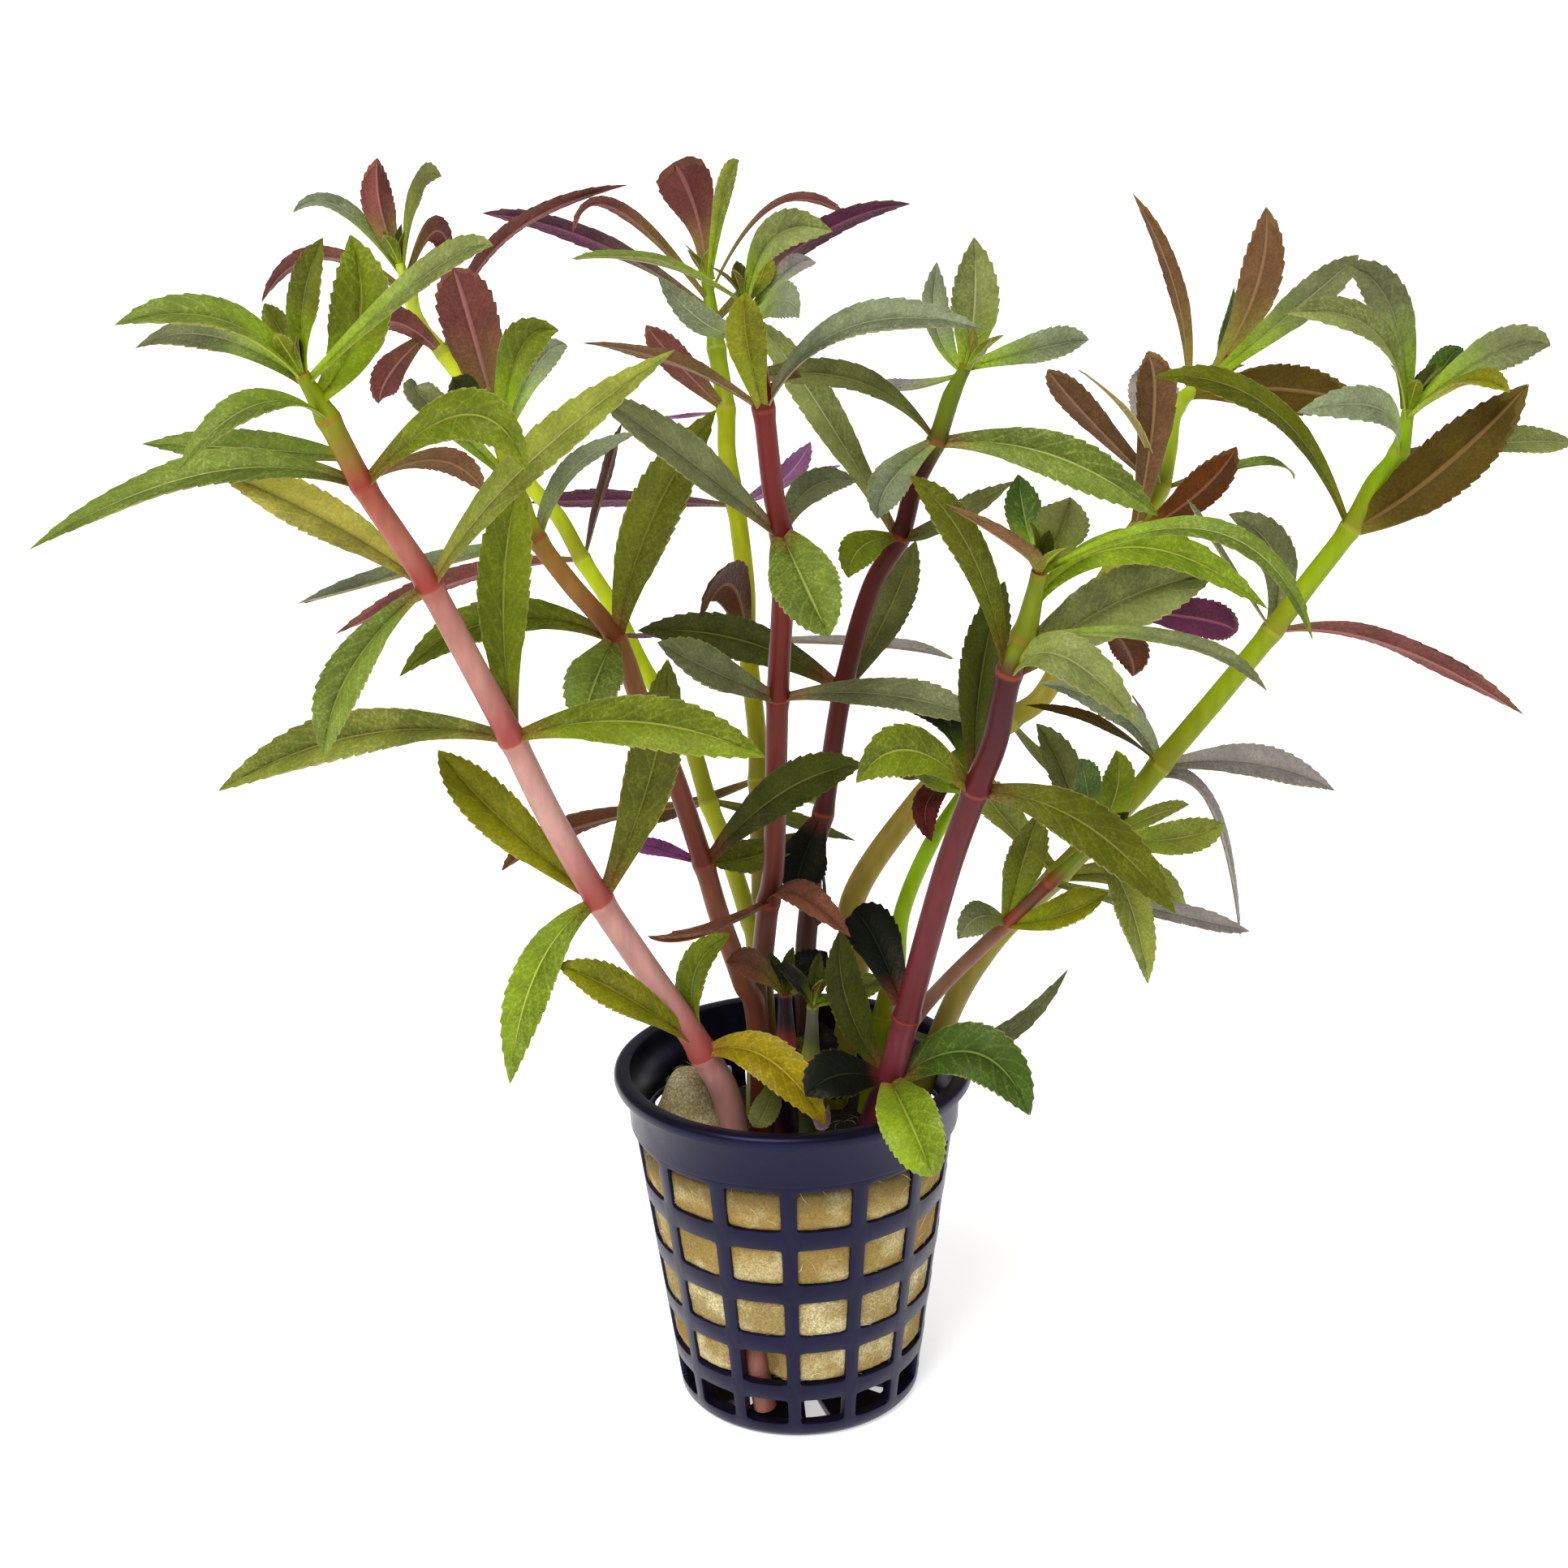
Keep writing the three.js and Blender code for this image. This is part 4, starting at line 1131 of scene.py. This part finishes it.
leafTints = {
    # upper side, under side, midrib
    "spring": ("#6b8015", "#747c18", "#b4c050"),
    "fresh": ("#607025", "#747830", "#b2bc6a"),
    "leaf": ("#5d6a0c", "#6c6424", "#a4a84c"),
    "moss": ("#70720a", "#705c1c", "#a8a040"),
    "straw": ("#aea646", "#88783c", "#c0b870"),
    "khaki": ("#747c2b", "#787034", "#b4b068"),
    "sage": ("#6e763e", "#78704a", "#a8ac74"),
    "silver": ("#6f7758", "#787060", "#a8ac84"),
    "slate": ("#847c76", "#6c5c60", "#98a088"),
    "dusk": ("#606640", "#645038", "#909068"),
    "deep": ("#4f5406", "#503c14", "#80843a"),
    "fern": ("#364c13", "#505424", "#809448"),
    "dark": ("#31370b", "#403018", "#60642c"),
    "shadow": ("#0c100c", "#18140e", "#2c2e20"),
    "gold": ("#7a6a00", "#806c1c", "#c4b048"),
    "olive": ("#595c2f", "#543c14", "#848438"),
    "bronze": ("#3e2c02", "#45360c", "#745830"),
    "umber": ("#683f2d", "#4a260a", "#7c5038"),
    "russet": ("#5c4428", "#6a4b31", "#94704c"),
    "plum": ("#541f1c", "#6e3e38", "#a06864"),
    "wine": ("#4c1c2c", "#4e2239", "#82405c"),
    "mauve": ("#7c4072", "#7c4c74", "#a87ca0"),
    "pale": ("#d0aab4", "#c8a0a0", "#d8bcb4"),
}
bladeValues = {
    "grown": {"rows": 57, "shape": (1.4, 0.98), "base": 0.27, "toothFrom": 0.3, "tooth": 0.11},
    "broad": {"rows": 57, "shape": (1.05, 0.85), "base": 0.27, "toothFrom": 0.3, "tooth": 0.09},
    "young": {"rows": 39, "shape": (1.3, 0.95), "base": 0.3, "toothFrom": 0.36, "tooth": 0.1},
    "spoon": {"rows": 39, "shape": (2.2, 0.5), "base": 0.34, "toothFrom": 0.5, "tooth": 0.08},
}
leafValues = {
    "columns": [0, 0.07, 0.2, 0.42, 0.66, 0.86, 1],  # from the midrib to the margin
    "fold": 0.3,
    "foldRange": (0.35, 1.5),  # how much more or less a leaf folds
    "gutter": 0.03,
    "puff": 0.09,
    "thickness": 0.085,
    "tipWidth": 0.012,
    "rowsPerTooth": 3,
    "toothLean": 0.8,          # of a row, towards the tip
    "root": 0.35,              # of the stem's radius
    "wave": 0.1,
    "waveRange": (0.4, 1.2),
    "wavePhase": 6.3,          # radians, at most
    "ruffles": 9,              # radians of the wave along a margin
    "ruffleLag": 0.8,          # radians, from one margin to the other
    "twist": 14,               # degrees, at most
    "twistFrom": 0.3,          # the place along a leaf that isn't turned
    "paintedHalfShadePerTwist": 4,         # painted shade: how much lighter one half is than the other, as light falls on its fold
    "youngPoints": (4, 3),     # a leaf gets younger over the last points of its stem
    "broadWidth": 7.4,         # from this width on a leaf is a broad one
    "plainTints": ("umber", "russet", "plum", "wine", "mauve", "pale", "bronze", "dark", "shadow", "olive"),
    "looks": {"gloss": 0.2, "youth": 0.8, "veins": 0.1, "margin": 0.35, "glint": 0.25},
    # hardly any veins, glints or pale margin
    "plainLooks": {"gloss": 0.1, "youth": 0.3, "veins": 0.04, "margin": 0.06, "glint": 0.05},
    "youngTint": "#8aa80e",
    "baseTint": {"red_stem": "#7c3a2c", "green_stem": "#7c7420"},
    "marginTint": "#b8a868",
    "sheen": "#fff4d0",
    "veins": (58, 11, 5),      # how many, how steep and how wavy
    "patchScale": 260,
    "grainScale": 2400,
    "seed": 5,
}
blades = {}


def bladeWidth(kind, share):
    rise, fall = bladeValues[kind]["shape"]
    peak = rise / (rise + fall)
    full = peak ** rise * (1 - peak) ** fall
    base = bladeValues[kind]["base"] * (1 - share) ** 2
    return base + (1 - base) * share ** rise * (1 - share) ** fall / full


def modelBlade(kind):
    values = bladeValues[kind]
    rows = values["rows"]
    columns = leafValues["columns"]
    half = len(columns) - 1
    near = 0.3 / rows  # well under one row
    parked = 10        # a column that is done waits this far out, so none is moved twice
    clearSelection()
    bpy.ops.mesh.primitive_grid_add(x_subdivisions=rows, y_subdivisions=half * 2, size=2)
    blade = bpy.context.object
    blade.name = "blade_" + kind
    editOn()
    bpy.ops.mesh.select_all(action="SELECT")
    bpy.ops.transform.translate(value=(1, 0, 0))
    bpy.ops.transform.resize(value=(0.5, 1, 1), center_override=(0, 0, 0))
    for index in range(half, -1, -1):
        # the columns close up on the midrib, and the two halves fold up and puff a little
        share = columns[index]
        lift = leafValues["fold"] * share + leafValues["puff"] * math.sin(math.pi * share)
        if index == 0:
            lift -= leafValues["gutter"]
        for side in (-1, 1) if index else (1,):
            pickParts("VERT", lambda point: abs(point.y - side * index / half) < 0.01)
            aside = side * (share - index / half + (parked if index else 0))
            bpy.ops.transform.translate(value=(0, aside, lift))
    for index in range(1, half + 1):
        for side in (-1, 1):
            pickParts("VERT", lambda point: abs(point.y - side * (columns[index] + parked)) < 0.001)
            bpy.ops.transform.translate(value=(0, -parked * side, 0))
    editOff()
    for loop, corner in zip(blade.data.loops, blade.data.uv_layers[0].data):
        place = blade.data.vertices[loop.vertex_index].co
        corner.uv = (place.x, (place.y + 1) / 2)
    editOn()
    for row in range(rows + 1):
        share = row / rows
        width = max(bladeWidth(kind, share), leafValues["tipWidth"])
        pickParts("VERT", lambda point: abs(point.x - share) < near)
        bpy.ops.transform.resize(value=(1, width, width), center_override=(share, 0, 0))
    perTooth = leafValues["rowsPerTooth"]
    for step in range(1, perTooth):
        # the margin slopes out along each tooth and falls back behind its point
        toothRows = [row / rows for row in range(step, rows - 1, perTooth)]
        toothRows = [share for share in toothRows if share > values["toothFrom"]]

        def isTooth(point):
            at = min(toothRows, key=lambda share: abs(share - point.x))
            return abs(at - point.x) < near and abs(point.y) > bladeWidth(kind, at) * 0.97
        pickParts("VERT", isTooth)
        rise = values["tooth"] * step / (perTooth - 1)
        bpy.ops.transform.resize(value=(1, 1 + rise, 1), center_override=(0, 0, 0))
    bpy.ops.transform.translate(value=(leafValues["toothLean"] / rows, 0, 0))
    editOff()
    applyModifier(blade, "SOLIDIFY", thickness=leafValues["thickness"], offset=0)
    smoothByAngle(blade, 60)
    # the under side is told by its faces, because the two sides share the points of the margin
    under = blade.data.attributes.new("under", "FLOAT", "FACE")
    under.data.foreach_set("value", [float(face.normal.z < -0.3) for face in blade.data.polygons])
    places = np.empty(len(blade.data.vertices) * 3)
    blade.data.vertices.foreach_get("co", places)
    blades[kind] = (blade, places.reshape(-1, 3))


def bladePattern(tree):
    # how far along the blade, which half, how far from the midrib, and the veins that run up from it
    values = leafValues
    count, steep, wavy = values["veins"]
    place = addNode(tree, "UVMap").outputs["UV"]
    split = addNode(tree, "SeparateXYZ", Vector=place).outputs
    along = split["X"]
    sideways = mathNode(tree, "SUBTRACT", timesNode(tree, split["Y"], 2), 1)
    across = mathNode(tree, "ABSOLUTE", sideways)
    patch = noiseNode(tree, values["patchScale"])
    rise = mathNode(tree, "SUBTRACT", timesNode(tree, along, count), timesNode(tree, across, steep))
    wave = mathNode(tree, "SINE", plusNode(tree, rise, timesNode(tree, patch, wavy)))
    return along, sideways, across, patch, rangeNode(tree, wave, 0.7, 1.0)


def leafSurface(tint, slot):
    values = leafValues
    upper, under, rib = [paint(code) for code in leafTints[tint]]
    looks = values["plainLooks" if tint in values["plainTints"] else "looks"]
    tree, shader, material = newMaterial(f"leaf_{tint}_{slot}", Specular_IOR_Level=looks["gloss"],
                                         Specular_Tint=paint(values["sheen"]))
    along, sideways, across, patch, veins = bladePattern(tree)
    grain = noiseNode(tree, values["grainScale"], 2, roughness=0.75)
    side = mixNode(tree, attributeNode(tree, "under"), upper, under)
    # reddish or greenish at the base, and fresher towards it on a young leaf
    warm = timesNode(tree, rangeNode(tree, along, 0.25, 0.0), 0.5)
    based = mixNode(tree, warm, side, paint(values["baseTint"][slot]))
    fading = rangeNode(tree, along, 0.6, 0.05, 0, looks["youth"])
    young = timesNode(tree, attributeNode(tree, "young"), fading)
    fresh = mixNode(tree, young, based, paint(values["youngTint"]))
    # light and dark: patches and grain, painted shade of one half against the other, leaf by leaf, and
    # along the midrib
    mottle = timesNode(tree, rangeNode(tree, patch, 0.3, 0.7, 0.84, 1.16),
                       rangeNode(tree, grain, 0.3, 0.7, 0.82, 1.18))
    # painted shade: one half of the blade lighter, the other darker, as light falls on a fold; the 'lean'
    # number sets how much
    half = timesNode(tree, rangeNode(tree, sideways, -0.1, 0.1, -0.2, 0.2), attributeNode(tree, "lean"))
    shade = plusNode(tree, half, timesNode(tree, attributeNode(tree, "shade"), 0.12))
    beside = timesNode(tree, rangeNode(tree, across, 0.3, 0.08), -0.12)
    lit = litNode(tree, fresh, plusNode(tree, plusNode(tree, mottle, shade), beside))
    # veins, midrib, margin and small glints
    veined = mixNode(tree, timesNode(tree, veins, looks["veins"]), lit, rib)
    midrib = timesNode(tree, rangeNode(tree, across, 0.08, 0.035), 0.8)
    ribbed = mixNode(tree, midrib, veined, rib)
    edge = timesNode(tree, rangeNode(tree, across, 0.965, 1.0), looks["margin"])
    rimmed = mixNode(tree, edge, ribbed, paint(values["marginTint"]))
    speck = plusNode(tree, grain, timesNode(tree, patch, 0.3))
    glinting = mixNode(tree, rangeNode(tree, speck, 0.7, 0.9, 0, looks["glint"]), rimmed, rib)
    feed(tree, shader.inputs["Base Color"], glinting)
    feed(tree, shader.inputs["Roughness"], rangeNode(tree, grain, 0.35, 0.65, 0.58, 0.4))
    relief = plusNode(tree, timesNode(tree, veins, -0.45), timesNode(tree, grain, 0.7))
    bumpNode(tree, shader, relief, 0.55, 0.12 * mm)
    return material


surfaces = {}


def leafMaterial(tint, slot):
    if (tint, slot) not in surfaces:
        surfaces[tint, slot] = leafSurface(tint, slot)
    return surfaces[tint, slot]


def routePoints(stem):
    return [Vector(stem["foot"])] + [seenPoint(*point) for point in stem["route"]]


def routeAt(points, place):
    # the point and direction at a place on the smooth curve, where place 0 is the first point
    index = min(int(place), len(points) - 2)
    share = place - index
    start, end = points[index], points[index + 1]
    before = points[index - 1] if index else start * 2 - end
    after = points[index + 2] if index + 2 < len(points) else end * 2 - start
    leave, arrive = (end - before) / 2, (after - start) / 2
    square, cube = share * share, share ** 3
    point = (start * (2 * cube - 3 * square + 1) + leave * (cube - 2 * square + share)
             + end * (3 * square - 2 * cube) + arrive * (cube - square))
    course = (start * (6 * square - 6 * share) + leave * (3 * square - 4 * share + 1)
              + end * (6 * share - 6 * square) + arrive * (3 * square - 2 * share))
    return point, course.normalized()


def stemRadius(stem, place):
    share = place / len(stem["route"])
    bottom, top = stem["thickness"]
    return (bottom + (top - bottom) * share) / 2


stemValues = {
    "stepsPerPoint": 12,
    "bevelResolution": 4,      # a round of twelve sides
    "sides": 12,
    "swelling": 0.15,
    "jointReach": 1.1,         # millimetres
    "blushReach": 2.6,
    "tipTaper": 0.6,
    "tailStepsPerPoint": 4,
    "tailThickness": 0.8,      # of the stem's
    "blush": {"red_stem": "#8a2c24", "green_stem": "#747410"},
    "jointTint": {"red_stem": "#a8482e", "green_stem": "#a8a03c"},
    "cutTints": ("#744438", "#906054"),
    "streak": (1, 1, 0.12),
    "gloss": 0.16,
}


def stemJoints(stem):
    rows = stem["leaves"] + stem["crown"]
    return sorted({round(row[0]) + 1 for row in rows})


def newTube(steps):
    # the points of a line, still to be placed, which carries a round of one millimetre's radius
    clearSelection()
    bpy.ops.curve.primitive_bezier_curve_add()
    curve = bpy.context.object.data
    curve.splines.clear()
    curve.dimensions = "3D"
    curve.bevel_depth = mm
    curve.bevel_resolution = stemValues["bevelResolution"]
    line = curve.splines.new("POLY")
    line.points.add(steps)
    return line.points


def closeTube(tube, material):
    editOn()
    bpy.ops.mesh.select_all(action="SELECT")
    bpy.ops.mesh.fill_holes(sides=0)
    faceOutwards()
    editOff()
    smoothByAngle(tube, 60)
    tube.data.materials.append(material)
    return tube


def modelStem(name, stem):
    values = stemValues
    points = routePoints(stem)
    last = len(points) - 1
    joints = stemJoints(stem)
    jointPoints = [points[min(joint, last)] for joint in joints]
    heights, blushes, internodes = [], [], []
    for step, spot in enumerate(newTube(last * values["stepsPerPoint"])):
        place = step / values["stepsPerPoint"]
        point = routeAt(points, place)[0]
        away = min([(point - joint).length for joint in jointPoints])
        swelling = math.exp(-(away / values["jointReach"]) ** 2) * values["swelling"]
        passed = [joint for joint in joints if joint <= place]
        ahead = [joint for joint in joints if joint > place]
        low = passed[-1] if passed else 0
        high = ahead[0] if ahead else last + 1
        taper = 1 - (1 - values["tipTaper"]) * max(0, place - last + 1)
        spot.co = (*(point * mm), 1)
        spot.radius = stemRadius(stem, place) * (1 + swelling) * taper
        heights.append(place / last)
        blushes.append(math.exp(-(away / values["blushReach"]) ** 2))
        internodes.append((place - low) / (high - low))
    bpy.ops.object.convert(target="MESH")
    piece = bpy.context.object
    for attribute, numbers in (("height", heights), ("joint", blushes), ("internode", internodes)):
        setNumbers(piece.data, attribute, np.repeat(numbers, values["sides"]))
    return closeTube(piece, stemSurface(name, stem))


def modelTail(stem):
    # the cut lower end, from inside the wool down into the open row of windows
    perPoint = stemValues["tailStepsPerPoint"]
    points = [Vector(point) for point in stem["tail"]]
    for step, spot in enumerate(newTube((len(points) - 1) * perPoint)):
        spot.co = (*(routeAt(points, step / perPoint)[0] * mm), 1)
        spot.radius = stemRadius(stem, 0) * stemValues["tailThickness"]
    bpy.ops.object.convert(target="MESH")
    return closeTube(bpy.context.object, cutSurface())


def streakNode(tree):
    return noiseNode(tree, 700, stretch=stemValues["streak"])


def cutSurface():
    values = stemValues
    tree, shader, material = newMaterial("stem_cut", Roughness=0.45, Specular_IOR_Level=values["gloss"])
    colour = rampNode(tree, streakNode(tree), (0.3, 0.7), values["cutTints"])
    feed(tree, shader.inputs["Base Color"], colour)
    return material


def stemSurface(name, stem):
    values = stemValues
    tree, shader, material = newMaterial("stem_" + name, Roughness=0.38,
                                         Specular_IOR_Level=values["gloss"])
    turn = stem["topFrom"]
    height = attributeNode(tree, "height")
    ground = rampNode(tree, height, (0.1, 0.45, turn - 0.03, turn + 0.05), stem["colours"])
    streaks = streakNode(tree)
    lit = litNode(tree, ground, rangeNode(tree, streaks, 0.3, 0.7, 0.9, 1.1))
    # the foot of every internode and the stretch round a joint are deeper in colour
    joint = attributeNode(tree, "joint")
    foot = timesNode(tree, rangeNode(tree, attributeNode(tree, "internode"), 0.5, 0.0), 0.8)
    around = timesNode(tree, rangeNode(tree, joint, 0.1, 1.0), 0.2)
    faded = rangeNode(tree, height, 0.98, turn - 0.1)
    blush = timesNode(tree, mathNode(tree, "MAXIMUM", foot, around), faded)
    blushTint = stem.get("blush", values["blush"][stem["slot"]])
    blushed = mixNode(tree, blush, lit, paint(blushTint))
    ring = timesNode(tree, rangeNode(tree, joint, 0.95, 0.99), 0.35)
    ringed = mixNode(tree, ring, blushed, paint(values["jointTint"][stem["slot"]]))
    feed(tree, shader.inputs["Base Color"], ringed)
    bumpNode(tree, shader, streaks, 0.3, 0.15 * mm)
    return material


def leafSpine(stem, row):
    place, midX, midZ, midStep, tipX, tipZ, tipStep = row[:7]
    points = routePoints(stem)
    node, upwards = routeAt(points, place + 1)
    depth = stem["route"][int(place)][2]
    middle = seenPoint(midX, midZ, depth + bunchValues["leafReach"] * midStep)
    tip = seenPoint(tipX, tipZ, depth + bunchValues["leafReach"] * tipStep)
    outwards = middle - node
    outwards -= upwards * outwards.dot(upwards)
    base = node + outwards.normalized() * stemRadius(stem, place + 1) * leafValues["root"]
    bend = middle * 2 - base * 0.5 - tip * 0.5
    return base, bend, tip, middle, upwards


def bendBlade(kind, spine, facing, half, fold, twist, wave, phase):
    # every point of the flat blade goes to its place on the curved, twisted spine
    base, bend, tip = (np.array(point) for point in spine)
    flat = blades[kind][1]
    share = flat[:, :1]
    centre = (1 - share) ** 2 * base + 2 * share * (1 - share) * bend + share ** 2 * tip
    course = 2 * (1 - share) * (bend - base) + 2 * share * (tip - bend)
    course /= np.linalg.norm(course, axis=1, keepdims=True)
    upright = np.array(facing) - course * (course @ np.array(facing))[:, None]
    upright /= np.linalg.norm(upright, axis=1, keepdims=True)
    sideways = np.cross(course, upright)
    turn = twist * (share - leafValues["twistFrom"])
    normal = upright * np.cos(turn) + sideways * np.sin(turn)
    sideways = sideways * np.cos(turn) - upright * np.sin(turn)
    aside, lift = flat[:, 1:2], flat[:, 2:3]
    lag = np.sign(aside) * leafValues["ruffleLag"]
    ruffle = wave * aside ** 2 * np.sin(share * leafValues["ruffles"] + phase + lag)
    return centre + sideways * aside * half + normal * (lift * fold + ruffle) * half


def copyBlade(kind, name, places, material, numbers):
    mesh = blades[kind][0].data.copy()
    mesh.vertices.foreach_set("co", (places * mm).ravel())
    for attribute, number in numbers.items():
        setNumbers(mesh, attribute, [number] * len(mesh.vertices))
    mesh.materials.append(material)
    leaf = bpy.data.objects.new(name, mesh)
    bpy.context.collection.objects.link(leaf)
    return leaf


def placeLeaf(name, stem, row, rooted, dice):
    values = leafValues
    width, show, tint = row[7:10]
    base, bend, tip, middle, upwards = leafSpine(stem, row)
    chord = (tip - base).normalized()
    toFront = cameraValues["eye"] / mm - middle
    toFront = (toFront - chord * toFront.dot(chord)).normalized()
    facing = (upwards - chord * upwards.dot(chord)).normalized() * (1 - abs(show)) + toFront * show
    kind = "young" if rooted else "broad" if width > values["broadWidth"] else "grown"
    if len(row) > 10:
        kind = row[10]
    twist = math.radians(dice.uniform(-1, 1) * values["twist"])
    wave = values["wave"] * dice.uniform(*values["waveRange"])
    fold = dice.uniform(*values["foldRange"])
    phase = dice.uniform(0, values["wavePhase"])
    places = bendBlade(kind, (base, bend, tip), facing, width / 2, fold, twist, wave, phase)
    before, over = values["youngPoints"]
    youth = max(0, row[0] - len(stem["route"]) + before) / over if rooted else 0
    # 'lean' sets the painted shade between the two halves of the blade
    numbers = {"shade": dice.uniform(-1, 1), "young": youth, "lean": twist * values["paintedHalfShadePerTwist"]}
    return copyBlade(kind, name, places, leafMaterial(tint, stem["slot"]), numbers)


# the youngest leaves stand close round the tip of every stem, too small to have rows of their own

budValues = {
    "count": 5,
    "length": (4.2, 6.6),
    "width": (1.5, 2.3),
    "lean": (0.25, 0.6),       # how far the tip leans out, of the length
    "out": 0.3,                # of the base from the tip of the stem, millimetres
    "sunk": 0.4,
    "bend": (0.55, 0.08),      # how far up and out its middle is pulled, of the length
    "wave": 0.05,
    "turn": 137.5,             # degrees from one leaf to the next
    "firstTurn": 20,           # degrees for each letter of the stem's name, so that the stems differ
    "tints": ("leaf", "deep", "spring", "dark"),
}


def placeBud(name, stem, index, dice):
    values = budValues
    tipPoint, upwards = routeAt(routePoints(stem), len(stem["route"]))
    across = upwards.orthogonal().normalized()
    around = upwards.cross(across)
    turn = math.radians(values["turn"] * index + len(name) * values["firstTurn"])
    outwards = across * math.cos(turn) + around * math.sin(turn)
    length = dice.uniform(*values["length"])
    up, out = values["bend"]
    base = tipPoint + outwards * values["out"] - upwards * values["sunk"]
    tip = base + upwards * length + outwards * length * dice.uniform(*values["lean"])
    bend = base + upwards * length * up + outwards * length * out
    half = dice.uniform(*values["width"]) / 2
    places = bendBlade("young", (base, bend, tip), -outwards, half, 1, 0, values["wave"], index)
    tints = stem.get("budTints", values["tints"])
    material = leafMaterial(tints[index % len(tints)], stem["slot"])
    return copyBlade("young", name, places, material, {"shade": dice.uniform(-1, 1), "young": 1.0})


def buildPlant():
    for kind in bladeValues:
        modelBlade(kind)
    print("leaf blades modelled")
    dice = random.Random(leafValues["seed"])
    for name, stem in stems.items():
        parts = [modelStem(name, stem)]
        if "tail" in stem:
            parts.append(modelTail(stem))
        for index, row in enumerate(stem["crown"]):
            parts.append(placeLeaf(f"crown_{name}_{index + 1}", stem, row, True, dice))
        for index in range(budValues["count"]):
            parts.append(placeBud(f"bud_{name}_{index + 1}", stem, index, dice))
        piece = joinPieces(parts, "shoot_" + name)
        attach(piece, "root")
        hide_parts("stem_" + name)
        for index, row in enumerate(stem["leaves"]):
            leaf = placeLeaf(f"blade_{name}_{index + 1}", stem, row, False, dice)
            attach(leaf, "root")
            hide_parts(f"leaf_{name}_{index + 1}")
        print(f"stem {name}: {len(stem['crown'])} crown leaves, {len(stem['leaves'])} grown leaves")
    for kind in bladeValues:
        bpy.data.objects.remove(blades[kind][0])


buildPlant()
